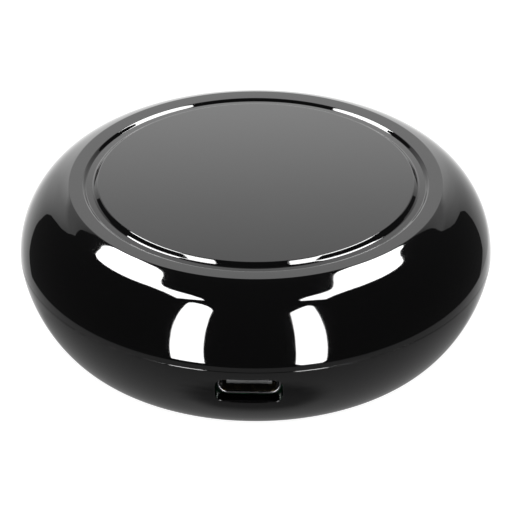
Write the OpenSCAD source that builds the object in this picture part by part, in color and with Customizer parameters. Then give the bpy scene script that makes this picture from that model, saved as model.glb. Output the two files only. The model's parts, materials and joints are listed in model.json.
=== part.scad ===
// Smart infrared blaster: a round, gloss-black two-part housing with a flat top
// panel, a charging port at the front and a ring of infrared diodes on one board.
// Millimetres. +Z is up, the port faces -Y, and the origin is under the middle
// of the object, on the surface that it stands on.

/* [Body] */
// Widest diameter of the housing, at the seam
body_d = 68; // [64:0.5:74]
// Height of the seam above the table
seam_z = 13.2; // [12.6:0.1:14.4]
// Rise of the flat ring above the seam
shoulder_rise = 10.85; // [10:0.05:12]
// How much higher the shoulder's curve would rise if the flat ring didn't cut it off
shoulder_cut = 0.1; // [0.04:0.02:0.2]
// How far that whole curve reaches in from the widest point
shoulder_reach = 8.08; // [7.4:0.02:8.8]
// How far the belly curves in, from the widest point to the base
belly_reach = 7.9; // [7:0.05:8.5]
// Power of the shoulder's curve, 2 being a quarter of an ellipse
shoulder_power_share = 1.88; // [1.7:0.02:2.2]
// Power of the belly's curve, a lower one being straighter
belly_power_share = 1.56; // [1.5:0.02:2]

/* [Walls] */
// Wall of the upper shell
upper_wall = 2; // [1.8:0.1:2.2]
// Wall of the lower shell
lower_wall = 1.8; // [1.6:0.1:2]
// Thickness of the lower shell's floor
floor_t = 1.8; // [1.7:0.1:2.2]
// Thickness of the upper shell under the groove
ceiling_t = 2.1; // [1.8:0.05:2.3]
// Height of the lip that locates the upper shell on the lower one
lap_h = 1.3; // [1:0.1:1.8]
// Thickness of that lip
lap_t = 0.8; // [0.7:0.05:0.9]
// Chamfer on both edges of the seam
seam_chamfer = 0.12; // [0.06:0.02:0.2]

/* [Top panel] */
// Width of the flat ring, from the groove to the shoulder
ring_w = 2.1; // [1.6:0.05:2.6]
// Depth of the groove below the flat ring
groove_depth = 0.3; // [0.25:0.05:0.4]
// Width of the groove from the ring to the flat top of the panel
groove_w = 2.05; // [1.8:0.05:2.4]
// Slope of the groove's outer side
groove_out_a = 39; // [30:1:50]
// Slope of the groove's inner side and of the panel's bevel
groove_in_a = 43; // [35:1:50]
// Rounding of the ring's lip beside the groove
lip_r = 0.3; // [0.2:0.05:0.4]
// Fillet between the groove's bottom and its outer side
groove_out_r = 0.2; // [0.1:0.05:0.4]
// Fillet between the groove's bottom and its inner side
groove_in_r = 0.45; // [0.3:0.05:0.5]
// Thickness of the top panel
panel_t = 0.4; // [0.35:0.05:0.45]
// Rounding of the panel's upper edge
panel_edge_r = 0.2; // [0.1:0.05:0.3]
// Height of the panel above the flat ring
panel_proud = 0.25; // [0.2:0.05:0.3]
// Width of the panel's rim that rests on the plateau, outside the adhesive's pocket
panel_rim_w = 0.6; // [0.4:0.05:0.8]
// Thickness of the adhesive layer under the panel
panel_tape_t = 0.15; // [0.1:0.05:0.25]

/* [Foot] */
// How far the foot stands out of the base
foot_proud = 0.5; // [0.3:0.1:0.8]
// Depth of the recess that the foot is stuck into
foot_recess = 0.5; // [0.4:0.05:0.6]
// Width of the base's rim outside the foot
foot_margin = 1.6; // [1.2:0.1:2.2]
// Rounding of the foot's lower edges
foot_edge_r = 0.3; // [0.1:0.05:0.4]
// Thickness of the adhesive layer above the foot
foot_tape_t = 0.15; // [0.1:0.05:0.25]

/* [Port] */
// Drop of the port's axis below the seam
port_drop = 3.65; // [3.5:0.05:4]
// Width of the port's opening in the housing
port_w = 9.5; // [9.4:0.1:10]
// Height of the port's opening
port_h = 4.45; // [4:0.05:4.6]
// Corner radius of the port's opening
port_corner_r = 1.4; // [1:0.1:1.6]
// Depth of the receptacle's mouth behind the widest circle
port_inset = 2.9; // [2.8:0.1:3.2]
// Width of the receptacle's metal shell
usb_w = 8.94; // [8.9:0.01:9]
// Height of the receptacle's metal shell
usb_h = 3.16; // [3.1:0.01:3.26]
// Length of the receptacle's metal shell
usb_l = 7.35; // [7:0.05:8]
// Sheet thickness of the receptacle's shell
usb_sheet_t = 0.3; // [0.2:0.02:0.3]

/* [Board] */
// Thickness of the main board
board_t = 1.6; // [1.2:0.1:1.8]
// Gap between the main board's edge and the housing
board_gap = 1.3; // [1:0.1:1.6]
// Length of the radio module
radio_l = 18; // [17:0.5:19]
// Width of the radio module
radio_w = 15; // [14:0.5:16]

/* [Infrared diodes] */
// Number of diodes that point outwards
led_count = 7; // [5:1:7]
// Diameter of a diode
led_d = 5; // [4.6:0.1:5.2]
// Length of a diode with its dome
led_l = 8.6; // [8:0.1:8.8]
// Gap between a diode's tip and the locating lip
led_gap = 1.2; // [0.8:0.1:1.6]

/* [Screws] */
// Diameter of a case screw's shank
screw_d = 2; // [1.8:0.05:2.1]
// Length of a case screw's shank
screw_l = 9; // [8:0.5:10]
// Diameter of a case screw's head
screw_head_d = 3.6; // [3.4:0.1:3.8]
// Height of a case screw's head
screw_head_h = 1.2; // [1:0.1:1.3]
// Distance of the screws inside the foot's outer edge
screw_inset = 3; // [2.7:0.1:3.2]

/* [Reset button] */
// Diameter of the button's face
button_d = 4.8; // [4.4:0.1:5.2]
// How far the button's face lies inside the base
button_sunk = 0.3; // [0.2:0.05:0.4]
// Travel of the button and of its switch
button_travel = 0.3; // [0.2:0.05:0.35]
// Side of the square switch
switch_w = 4.5; // [4.4:0.1:5]
// Height of the switch's case
switch_h = 1.6; // [1.5:0.05:1.8]

/* [Hidden] */

// Steps of the curves
round_steps = 96;
curve_steps = 18;
fillet_steps = 5;
$fn = round_steps;
// Overrun of every cut past the face that it starts from
cut_over = 0.5;
// Sliding clearance on each side of a moving piece, and the gap at its rest stop
slide_gap = 0.15;
stop_gap = 0.05;
// Clearance on each side of a piece that is laid into a recess
lay_gap = 0.2;

// Heights and radii of the housing
body_r = body_d / 2;
shoulder_in_r = body_r - shoulder_reach;
shoulder_full_rise = shoulder_rise + shoulder_cut;
ring_angle = curve_angle(shoulder_rise / shoulder_full_rise, shoulder_power_share);
ring_r = curve_point(shoulder_in_r, seam_z, shoulder_reach, shoulder_full_rise,
    shoulder_power_share, ring_angle)[0];
base_r = body_r - belly_reach;
base_z = foot_proud;
ring_z = seam_z + shoulder_rise;
belly_drop = seam_z - base_z;
groove_r = ring_r - ring_w;
groove_z = ring_z - groove_depth;
panel_top_r = groove_r - groove_w;
plateau_z = ring_z + panel_proud - panel_t;
panel_r = panel_top_r + panel_t / tan(groove_in_a);
pocket_r = panel_r - panel_rim_w;
pocket_z = plateau_z - panel_tape_t;
ceiling_z = groove_z - ceiling_t;
floor_z = base_z + floor_t;
foot_r = base_r - foot_margin;
foot_top_z = base_z + foot_recess;

// Inner curves, each the outer one drawn in by the wall
upper_in_reach = shoulder_reach - upper_wall;
upper_in_rise = shoulder_full_rise - upper_wall;
lower_in_reach = belly_reach - lower_wall;
lower_in_drop = belly_drop - floor_t;

// Lap joint at the seam
lap_gap = 0.1;
lap_in_r = base_r + lower_in_reach;
lap_out_r = lap_in_r + lap_t;

// Receptacle
port_z = seam_z - port_drop;
port_face_r = body_r - port_inset;
usb_corner_r = usb_h / 2;
tongue_w = 6.4;
tongue_t = 0.7;
tongue_sunk = 0.6;
usb_back_t = 1.8;
contact_count = 12;
contact_pitch = 0.5;
contact_w = 0.26;
contact_t = 0.06;
contact_l = 3.2;

// Main board
board_top_z = port_z - usb_h / 2;
board_z = board_top_z - board_t;
board_r = belly_inner_r(board_z) - board_gap;
screw_hole_gap = 0.25;
notch_w = 3;
notch_depth = 1.2;

// Screws and the posts that they pass
screw_r = screw_d / 2;
screw_head_r = screw_head_d / 2;
screw_circle_r = foot_r - screw_inset;
screw_angles = [for (i = [0:3]) 67.5 + 90 * i];
post_wall = 0.9;
post_r = screw_head_r + lay_gap + post_wall;
boss_r = 2.7;
screw_seat_t = 2;
screw_seat_z = board_z - screw_seat_t;
pilot_gap = 0.03;
pilot_over = 1.2;
drive_w = 0.5;
drive_depth = 0.7;

// Infrared diodes, one at the middle of each sector but the port's
led_r = led_d / 2;
led_flange_r = led_r + 0.08 * led_d;
led_flange_t = 0.2 * led_d;
led_lift = 0.5;
led_z = board_top_z + led_lift + led_flange_r;
led_tip_r = lap_in_r - led_gap;
led_base_r = led_tip_r - led_l;
led_sector = 360 / (led_count + 1);
led_angles = [for (i = [1:led_count]) 270 + led_sector * i];
lead_w = 0.5;
lead_pitch = 2.54;
lead_run = 1.5;
top_led_shares = [-0.47, 0.05];
top_led_lift = 2;

// Infrared receiver
receiver_w = 6;
receiver_h = 6.9;
receiver_t = 3.4;
receiver_lens_r = 2.4;
receiver_lift = 2;
receiver_inset = 3.4;
receiver_angle = 270 + led_sector / 2;
receiver_lead_count = 3;

// Radio module
radio_t = 0.8;
radio_gap = 0.4;
radio_y = screw_circle_r * sin(screw_angles[0]) - boss_r - radio_gap - radio_l / 2;
radio_place = [0, radio_y, board_top_z];
shield_t = 2.2;
shield_side = 1;
shield_l_share = 0.68;
shield_edge_r = 0.5;
antenna_w = 0.5;
antenna_t = 0.08;
antenna_turns = 5;
antenna_depth_share = 0.6;

// Other parts on the board, each placed in shares of the board's radius
capacitor_d = 6.3;
capacitor_h = 7.2;
capacitor_base_t = 1;
capacitor_groove = 0.3;
capacitor_shares = [0.26, -0.45];
regulator_w = 6.5;
regulator_l = 3.5;
regulator_t = 1.7;
regulator_shares = [-0.475, -0.2];
regulator_lead_l = 1.6;
regulator_lead_w = 0.7;
regulator_pitch = 2.3;
regulator_tab_w = 3;
inductor_w = 5;
inductor_t = 2.4;
inductor_corner = 1;
inductor_shares = [0.47, -0.02];
transistor_w = 2.9;
transistor_l = 1.3;
transistor_t = 1;
transistor_leg = 0.45;
transistor_leg_l = 0.6;
transistor_shares = [[-0.32, -0.1], [0.32, -0.1], [0, -0.34]];
resistor_l = 1.6;
resistor_w = 0.8;
resistor_t = 0.5;
resistor_in = 3;
chip_cap_l = 2;
chip_cap_w = 1.25;
chip_cap_t = 0.9;
chip_cap_shares = [[-0.12, -0.5], [0.12, -0.5], [-0.3, 0.22], [0.3, 0.22], [-0.12, 0.4], [0.12, 0.4]];
status_led_w = 1.6;
status_led_l = 0.8;
status_led_t = 0.6;
status_led_shares = [-0.27, -0.86];

// Reset switch and button, worked out downwards from the board
switch_cover_t = 0.2;
switch_face_z = board_z - switch_h - switch_cover_t;
plunger_r = 1.1;
plunger_out = 0.5;
plunger_z = switch_face_z - plunger_out;
collar_t = 0.3;
collar_side = 0.4;
collar_r = plunger_r + collar_side;
presser_r = 0.5;
presser_h = 0.3;
switch_well_h = stop_gap + collar_t + presser_h + button_travel + stop_gap;
button_r = button_d / 2;
button_z = base_z + button_sunk;
button_hole_r = button_r + slide_gap;
button_flange_side = 0.9;
button_flange_t = 0.7;
button_stem_r = 1.4;
button_edge_r = 0.2;
island_side = 2;
island_r = button_hole_r + island_side;
guide_t = 0.8;
guide_h = 1.2;
guide_in_r = button_r + button_flange_side + slide_gap;

// Radius of the belly's inner wall at a height
function belly_inner_r(z) =
    base_r + (belly_reach - lower_wall)
        * pow(1 - pow((seam_z - z) / (belly_drop - floor_t), belly_power_share), 1 / belly_power_share);

// Point of a power curve, from its widest place at angle 0 to its far end at 90
function curve_point(start_r, start_z, reach, rise, power, a) =
    [start_r + reach * pow(cos(a), 2 / power), start_z + rise * pow(sin(a), 2 / power)];

// Angle at which a power curve has covered a share of its rise
function curve_angle(rise_share, power) = asin(pow(rise_share, power / 2));

// Points of a power curve between two of its angles
function curve_points(start_r, start_z, reach, rise, power, a0, a1) =
    [for (i = [0:curve_steps])
        curve_point(start_r, start_z, reach, rise, power, a0 + (a1 - a0) * i / curve_steps)];

// Points of a round arc, at a finer or coarser step
function arc_points(centre, r, a0, a1, steps = fillet_steps) =
    [for (i = [0:steps]) centre + r * [cos(a0 + (a1 - a0) * i / steps), sin(a0 + (a1 - a0) * i / steps)]];

// Outline of a rectangle with round corners, about its middle
function round_rect(w, h, r) = concat(
    arc_points([w / 2 - r, h / 2 - r], r, 0, 90),
    arc_points([r - w / 2, h / 2 - r], r, 90, 180),
    arc_points([r - w / 2, r - h / 2], r, 180, 270),
    arc_points([w / 2 - r, r - h / 2], r, 270, 360)
);

// Place on the board's upper face, given in shares of its radius
function board_place(shares) = [shares[0] * board_r, shares[1] * board_r, board_top_z];

// Children turned to an angle and moved out along it
module around(angle, r, z) {
    rotate([0, 0, angle]) translate([r, 0, z]) children();
}

// Block about a middle in plan, standing on z = 0
module block(w, l, h) {
    translate([-w / 2, -l / 2, 0]) cube([w, l, h]);
}

// Children stood upside down on the board's lower face, at a place in shares of its radius
module under_board(shares) {
    translate([shares[0] * board_r, shares[1] * board_r, board_z]) rotate([180, 0, 0]) children();
}

// Flat ring standing on z = 0
module flat_ring(outer_r, inner_r, h) {
    difference() {
        cylinder(r = outer_r, h = h);
        translate([0, 0, -cut_over]) cylinder(r = inner_r, h = h + 2 * cut_over);
    }
}

// Prism through the front wall, with its outline in the X-Z plane
module through_front(outline, from_y, to_y, z) {
    translate([0, to_y, z]) rotate([90, 0, 0]) linear_extrude(height = to_y - from_y) polygon(outline);
}

// Lower shell: belly, floor, lap lip, screw posts, foot recess, button guide and port
module lower_wall_profile() {
    polygon(concat(
        [[0, base_z]],
        [for (i = [curve_steps:-1:1])
            curve_point(base_r, seam_z, belly_reach, -belly_drop, belly_power_share, 90 * i / curve_steps)],
        [[body_r, seam_z - seam_chamfer], [body_r - seam_chamfer, seam_z]],
        [[lap_out_r, seam_z], [lap_out_r, seam_z + lap_h], [lap_in_r, seam_z + lap_h]],
        curve_points(base_r, seam_z, lower_in_reach, -lower_in_drop, belly_power_share, 0, 90),
        [[0, floor_z]]
    ));
}

module screw_post() {
    cylinder(r = post_r, h = board_z - floor_z + cut_over);
}

module lower_shell() {
    color([0.03, 0.03, 0.03])
    difference() {
        union() {
            rotate_extrude() lower_wall_profile();
            for (a = screw_angles)
                around(a, screw_circle_r, floor_z - cut_over) screw_post();
            translate([0, 0, floor_z - cut_over])
                flat_ring(guide_in_r + guide_t, guide_in_r, guide_h + cut_over);
        }
        // Recess for the foot, round the island that the button sits in
        translate([0, 0, base_z - cut_over])
            flat_ring(foot_r + lay_gap, island_r, foot_recess + cut_over);
        // Hole for the button
        cylinder(r = button_hole_r, h = floor_z + cut_over);
        // Screw holes, with a counterbore for each head
        for (a = screw_angles) {
            around(a, screw_circle_r, 0) cylinder(r = screw_r + screw_hole_gap, h = board_z + cut_over);
            around(a, screw_circle_r, 0) cylinder(r = screw_head_r + lay_gap, h = screw_seat_z);
        }
        // Opening for the port
        through_front(round_rect(port_w, port_h, port_corner_r), -body_r - cut_over, -base_r, port_z);
    }
}

// Upper shell: shoulder, flat ring, groove, plateau, rebate of the lap joint and screw bosses
module upper_wall_profile() {
    groove_low_r = groove_r - groove_depth / tan(groove_out_a);
    plateau_low_r = panel_r + (plateau_z - groove_z) / tan(groove_in_a);
    in_fillet_r = min(groove_in_r, 0.95 * (plateau_z - groove_z) / (1 - cos(groove_in_a)));
    top_angle = curve_angle((ceiling_z - seam_z) / upper_in_rise, shoulder_power_share);
    low_angle = curve_angle((lap_h + lap_gap) / upper_in_rise, shoulder_power_share);
    polygon(concat(
        [[body_r - seam_chamfer, seam_z], [body_r, seam_z + seam_chamfer]],
        [for (i = [1:curve_steps])
            curve_point(shoulder_in_r, seam_z, shoulder_reach, shoulder_full_rise,
                shoulder_power_share, ring_angle * i / curve_steps)],
        arc_points([groove_r + lip_r * tan(groove_out_a / 2), ring_z - lip_r], lip_r,
            90, 90 + groove_out_a),
        arc_points([groove_low_r - groove_out_r * tan(groove_out_a / 2), groove_z + groove_out_r],
            groove_out_r, 270 + groove_out_a, 270),
        arc_points([plateau_low_r + in_fillet_r * tan(groove_in_a / 2), groove_z + in_fillet_r],
            in_fillet_r, 270, 270 - groove_in_a),
        [[panel_r, plateau_z], [pocket_r, plateau_z], [pocket_r, pocket_z], [0, pocket_z]],
        [[0, ceiling_z]],
        curve_points(shoulder_in_r, seam_z, upper_in_reach, upper_in_rise, shoulder_power_share,
            top_angle, low_angle),
        [[lap_out_r + lap_gap, seam_z + lap_h + lap_gap], [lap_out_r + lap_gap, seam_z]]
    ));
}

module upper_shell() {
    pilot_top_z = screw_seat_z + screw_l + pilot_over;
    color([0.03, 0.03, 0.03])
    difference() {
        union() {
            rotate_extrude() upper_wall_profile();
            for (a = screw_angles)
                around(a, screw_circle_r, board_top_z)
                    cylinder(r = boss_r, h = ceiling_z - board_top_z + cut_over);
        }
        for (a = screw_angles)
            around(a, screw_circle_r, board_top_z - cut_over)
                cylinder(r = screw_r + pilot_gap, h = pilot_top_z - board_top_z + cut_over);
    }
}

// Top panel, a plate with a bevelled side and a rounded upper edge, on the plateau
module top_panel() {
    arc_r = panel_top_r - panel_edge_r * tan(groove_in_a / 2);
    color([0.16, 0.16, 0.17])
    translate([0, 0, plateau_z])
        rotate_extrude() polygon(concat(
            [[0, 0], [panel_r, 0]],
            arc_points([arc_r, panel_t - panel_edge_r], panel_edge_r, 90 - groove_in_a, 90),
            [[0, panel_t]]
        ));
}

module panel_adhesive() {
    color([0.75, 0.75, 0.7])
    translate([0, 0, pocket_z]) cylinder(r = pocket_r - lay_gap, h = panel_tape_t);
}

// Foot: a soft ring with rounded lower edges, stuck into its recess
module rubber_foot() {
    inner_r = island_r + lay_gap;
    color([0.1, 0.1, 0.1])
    rotate_extrude() polygon(concat(
        arc_points([inner_r + foot_edge_r, foot_edge_r], foot_edge_r, 180, 270),
        arc_points([foot_r - foot_edge_r, foot_edge_r], foot_edge_r, 270, 360),
        [[foot_r, foot_top_z - foot_tape_t], [inner_r, foot_top_z - foot_tape_t]]
    ));
}

module foot_adhesive() {
    color([0.85, 0.85, 0.8])
    translate([0, 0, foot_top_z - foot_tape_t])
    difference() {
        flat_ring(foot_r - lay_gap, island_r + 2 * lay_gap, foot_tape_t);
        for (a = screw_angles)
            around(a, screw_circle_r, -cut_over)
                cylinder(r = screw_head_r + lay_gap, h = foot_tape_t + 2 * cut_over);
    }
}

// Case screw, driven upwards, with a cross cut in its head
module case_screw() {
    difference() {
        union() {
            translate([0, 0, -screw_head_h]) cylinder(r = screw_head_r, h = screw_head_h);
            translate([0, 0, -stop_gap]) cylinder(r = screw_r, h = screw_l + stop_gap);
        }
        for (turn = [0, 90])
            rotate([0, 0, turn])
                translate([0, 0, -screw_head_h - cut_over])
                    block(screw_head_r, drive_w, drive_depth + cut_over);
    }
}

module case_screws() {
    color([0.6, 0.6, 0.62])
    for (a = screw_angles)
        around(a, screw_circle_r, screw_seat_z) case_screw();
}

// Main board, with screw holes and a locating notch at the back
module main_board() {
    color([0.05, 0.25, 0.12])
    translate([0, 0, board_z])
    difference() {
        cylinder(r = board_r, h = board_t);
        for (a = screw_angles)
            around(a, screw_circle_r, -cut_over)
                cylinder(r = screw_r + screw_hole_gap, h = board_t + 2 * cut_over);
        translate([0, board_r, -cut_over]) block(notch_w, 2 * notch_depth, board_t + 2 * cut_over);
    }
}

// Receptacle: a drawn metal shell, its moulded tongue and the contacts on it
module usb_shell() {
    inner_w = usb_w - 2 * usb_sheet_t;
    inner_h = usb_h - 2 * usb_sheet_t;
    color([0.7, 0.7, 0.72])
    difference() {
        through_front(round_rect(usb_w, usb_h, usb_corner_r), -port_face_r, usb_l - port_face_r, port_z);
        through_front(round_rect(inner_w, inner_h, usb_corner_r - usb_sheet_t),
            -port_face_r - cut_over, usb_l - port_face_r + cut_over, port_z);
    }
}

module usb_tongue() {
    inner_w = usb_w - 2 * usb_sheet_t;
    inner_h = usb_h - 2 * usb_sheet_t;
    back_y = usb_l - port_face_r;
    tip_y = tongue_sunk - port_face_r;
    color([0.12, 0.12, 0.12]) {
        through_front(round_rect(inner_w, inner_h, usb_corner_r - usb_sheet_t),
            back_y - usb_back_t, back_y, port_z);
        translate([0, (tip_y + back_y) / 2, port_z - tongue_t / 2])
            block(tongue_w, back_y - tip_y, tongue_t);
    }
}

module usb_contacts() {
    row_w = (contact_count - 1) * contact_pitch;
    start_y = 2 * tongue_sunk - port_face_r;
    color([0.85, 0.68, 0.3])
    for (i = [0:contact_count - 1], side = [-1, 1])
        translate([i * contact_pitch - row_w / 2, start_y + contact_l / 2,
                port_z + side * (tongue_t + contact_t) / 2 - contact_t / 2])
            block(contact_w, contact_l, contact_t);
}

// Radio module: its own small board, a pressed shield and a folded antenna
module radio_board() {
    color([0.05, 0.12, 0.3])
    translate(radio_place) block(radio_w, radio_l, radio_t);
}

module radio_shield() {
    shield_w = radio_w - 2 * shield_side;
    shield_l = radio_l * shield_l_share;
    shift_y = shield_side - (radio_l - shield_l) / 2;
    color([0.72, 0.72, 0.74])
    translate(radio_place + [0, shift_y, radio_t])
        linear_extrude(height = shield_t) polygon(round_rect(shield_w, shield_l, shield_edge_r));
}

module radio_antenna() {
    free_l = radio_l * (1 - shield_l_share) - shield_side;
    depth = free_l * antenna_depth_share;
    pitch = (radio_w - 2 * shield_side - antenna_w) / (2 * antenna_turns - 1);
    start_x = -(2 * antenna_turns - 1) * pitch / 2;
    mid_y = radio_l / 2 - free_l / 2;
    color([0.8, 0.6, 0.35])
    translate(radio_place + [0, mid_y, radio_t])
    union() {
        for (i = [0:2 * antenna_turns - 1])
            translate([start_x + i * pitch, 0, 0]) block(antenna_w, depth, antenna_t);
        for (i = [0:2 * antenna_turns - 2])
            translate([start_x + (i + 0.5) * pitch, (i % 2 == 0 ? 1 : -1) * (depth - antenna_w) / 2, 0])
                block(pitch + antenna_w, antenna_w, antenna_t);
    }
}

// Infrared diode: flange, barrel and dome, standing on z = 0
module led_body() {
    dome_z = led_l - led_r;
    rotate_extrude() polygon(concat(
        [[0, 0], [led_flange_r, 0], [led_flange_r, led_flange_t], [led_r, led_flange_t]],
        arc_points([0, dome_z], led_r, 0, 90, 2 * fillet_steps)
    ));
}

module side_led(i) {
    if (i < led_count)
        color([0.75, 0.8, 0.9, 0.8])
        around(led_angles[i], led_base_r, led_z) rotate([0, 90, 0]) led_body();
}

module ir_led_top() {
    color([0.75, 0.8, 0.9, 0.8])
    translate(board_place(top_led_shares) + [0, 0, top_led_lift]) led_body();
}

module led_leads() {
    color([0.75, 0.75, 0.78]) {
        for (a = led_angles, side = [-1, 1])
            around(a, led_base_r, board_top_z)
            translate([0, side * lead_pitch / 2, 0])
            union() {
                translate([-lead_run, -lead_w / 2, led_z - board_top_z - lead_w / 2])
                    cube([lead_run, lead_w, lead_w]);
                translate([-lead_run, -lead_w / 2, 0])
                    cube([lead_w, lead_w, led_z - board_top_z + lead_w / 2]);
            }
        for (side = [-1, 1])
            translate(board_place(top_led_shares) + [side * lead_pitch / 2, 0, 0])
                block(lead_w, lead_w, top_led_lift);
    }
}

// Infrared receiver: an upright block with a round lens that looks outwards
module ir_receiver() {
    color([0.08, 0.07, 0.08])
    around(receiver_angle, board_r - receiver_inset, board_top_z + receiver_lift)
    union() {
        block(receiver_t, receiver_w, receiver_h);
        intersection() {
            translate([receiver_t / 2 - receiver_lens_r / 2, 0, 0])
                cylinder(r = receiver_lens_r, h = receiver_h - receiver_lens_r / 2);
            translate([receiver_t, 0, 0])
                block(2 * receiver_t, receiver_w, receiver_h - receiver_lens_r / 2);
        }
    }
}

module receiver_leads() {
    color([0.75, 0.75, 0.78])
    around(receiver_angle, board_r - receiver_inset, board_top_z)
        for (i = [0:receiver_lead_count - 1])
            translate([0, (i - (receiver_lead_count - 1) / 2) * lead_pitch * 0.8, 0])
                block(lead_w, lead_w, receiver_lift);
}

module status_led() {
    color([0.9, 0.9, 0.85])
    translate(board_place(status_led_shares)) block(status_led_w, status_led_l, status_led_t);
}

// Bulk capacitor: a rolled can on a square moulded base
module bulk_capacitor() {
    r = capacitor_d / 2;
    color([0.75, 0.76, 0.78])
    translate(board_place(capacitor_shares) + [0, 0, capacitor_base_t])
        rotate_extrude() polygon(concat(
            [[0, 0], [r, 0], [r, capacitor_groove]],
            [[r - capacitor_groove, 2 * capacitor_groove], [r, 3 * capacitor_groove]],
            arc_points([r - capacitor_groove, capacitor_h - capacitor_base_t - capacitor_groove],
                capacitor_groove, 0, 90),
            [[0, capacitor_h - capacitor_base_t]]
        ));
}

module capacitor_base() {
    half = capacitor_d / 2 + capacitor_groove;
    cut = capacitor_d / 6;
    color([0.08, 0.08, 0.08])
    translate(board_place(capacitor_shares))
        linear_extrude(height = capacitor_base_t) polygon([
            [-half, -half], [half - cut, -half], [half, cut - half],
            [half, half - cut], [half - cut, half], [-half, half]
        ]);
}

// Voltage regulator with three leads and a broad tab
module voltage_regulator() {
    color([0.07, 0.07, 0.07])
    translate(board_place(regulator_shares) + [0, 0, lead_w / 2])
        block(regulator_w, regulator_l, regulator_t);
}

module regulator_leads() {
    color([0.75, 0.75, 0.78])
    translate(board_place(regulator_shares)) {
        for (i = [-1:1])
            translate([i * regulator_pitch, -(regulator_l + regulator_lead_l) / 2, 0])
                block(regulator_lead_w, regulator_lead_l, lead_w);
        translate([0, (regulator_l + regulator_lead_l) / 2, 0])
            block(regulator_tab_w, regulator_lead_l, lead_w);
    }
}

module power_inductor() {
    half = inductor_w / 2;
    color([0.2, 0.2, 0.2])
    translate(board_place(inductor_shares))
        linear_extrude(height = inductor_t) polygon([
            [-half, inductor_corner - half], [inductor_corner - half, -half],
            [half - inductor_corner, -half], [half, inductor_corner - half],
            [half, half - inductor_corner], [half - inductor_corner, half],
            [inductor_corner - half, half], [-half, half - inductor_corner]
        ]);
}

// Driver transistors under the board, each with three small legs
module transistor() {
    union() {
        block(transistor_w, transistor_l, transistor_t);
        for (side = [-1, 1])
            translate([side * transistor_w / 3, -(transistor_l + transistor_leg_l) / 2, 0])
                block(transistor_leg, transistor_leg_l + transistor_leg, transistor_leg / 2);
        translate([0, (transistor_l + transistor_leg_l) / 2, 0])
            block(transistor_leg, transistor_leg_l + transistor_leg, transistor_leg / 2);
    }
}

module driver_transistors() {
    color([0.1, 0.1, 0.1])
    for (shares = transistor_shares)
        under_board(shares) transistor();
}

// One series resistor under the board for each diode
module chip_resistors() {
    color([0.15, 0.15, 0.2])
    for (a = led_angles)
        around(a, led_base_r - lead_run - resistor_in, board_z - resistor_t)
            block(resistor_w, resistor_l, resistor_t);
}

module chip_capacitors() {
    color([0.65, 0.5, 0.35])
    for (shares = chip_cap_shares)
        under_board(shares) block(chip_cap_l, chip_cap_w, chip_cap_t);
}

// Reset switch under the board: a case with a well, a pressed cover and a plunger
module reset_switch_case() {
    color([0.08, 0.08, 0.08])
    translate([0, 0, board_z - switch_h])
    difference() {
        block(switch_w, switch_w, switch_h);
        translate([0, 0, -cut_over]) cylinder(r = collar_r + slide_gap, h = switch_well_h + cut_over);
    }
}

module reset_switch_cover() {
    color([0.75, 0.75, 0.78])
    translate([0, 0, switch_face_z])
    difference() {
        block(switch_w, switch_w, switch_cover_t);
        translate([0, 0, -cut_over])
            cylinder(r = plunger_r + slide_gap, h = switch_cover_t + 2 * cut_over);
    }
}

module reset_switch_plunger() {
    collar_z = switch_face_z + switch_cover_t + stop_gap;
    color([0.8, 0.75, 0.65])
    rotate_extrude() polygon([
        [0, plunger_z], [plunger_r, plunger_z], [plunger_r, collar_z], [collar_r, collar_z],
        [collar_r, collar_z + collar_t], [presser_r, collar_z + collar_t],
        [presser_r, collar_z + collar_t + presser_h], [0, collar_z + collar_t + presser_h]
    ]);
}

// Reset button: a round face, a flange that rests inside the floor and a stem to the switch
module reset_button() {
    flange_z = floor_z + stop_gap;
    stem_z = plunger_z - stop_gap;
    color([0.12, 0.12, 0.12])
    rotate_extrude() polygon(concat(
        [[0, button_z]],
        arc_points([button_r - button_edge_r, button_z + button_edge_r], button_edge_r, 270, 360),
        [[button_r, flange_z], [button_r + button_flange_side, flange_z]],
        [[button_r + button_flange_side, flange_z + button_flange_t]],
        [[button_stem_r, flange_z + button_flange_t], [button_stem_r, stem_z], [0, stem_z]]
    ));
}

lower_shell();
upper_shell();
top_panel();
panel_adhesive();
rubber_foot();
foot_adhesive();
case_screws();
main_board();
usb_shell();
usb_tongue();
usb_contacts();
radio_board();
radio_shield();
radio_antenna();
side_led(0);  // ir_led_1
side_led(1);  // ir_led_2
side_led(2);  // ir_led_3
side_led(3);  // ir_led_4
side_led(4);  // ir_led_5
side_led(5);  // ir_led_6
side_led(6);  // ir_led_7
ir_led_top();
led_leads();
ir_receiver();
receiver_leads();
status_led();
bulk_capacitor();
capacitor_base();
voltage_regulator();
regulator_leads();
power_inductor();
driver_transistors();
chip_resistors();
chip_capacitors();
reset_switch_case();
reset_switch_cover();
reset_switch_plunger();
reset_button();
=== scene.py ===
"""Looks of a gloss-black smart infrared blaster, modelled and finished round its CAD frame.

Everything is in metres: +Z is up, the charging port faces -Y, and the origin is under the middle
of the object, on the surface that it stands on.
"""

import json
import math

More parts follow.
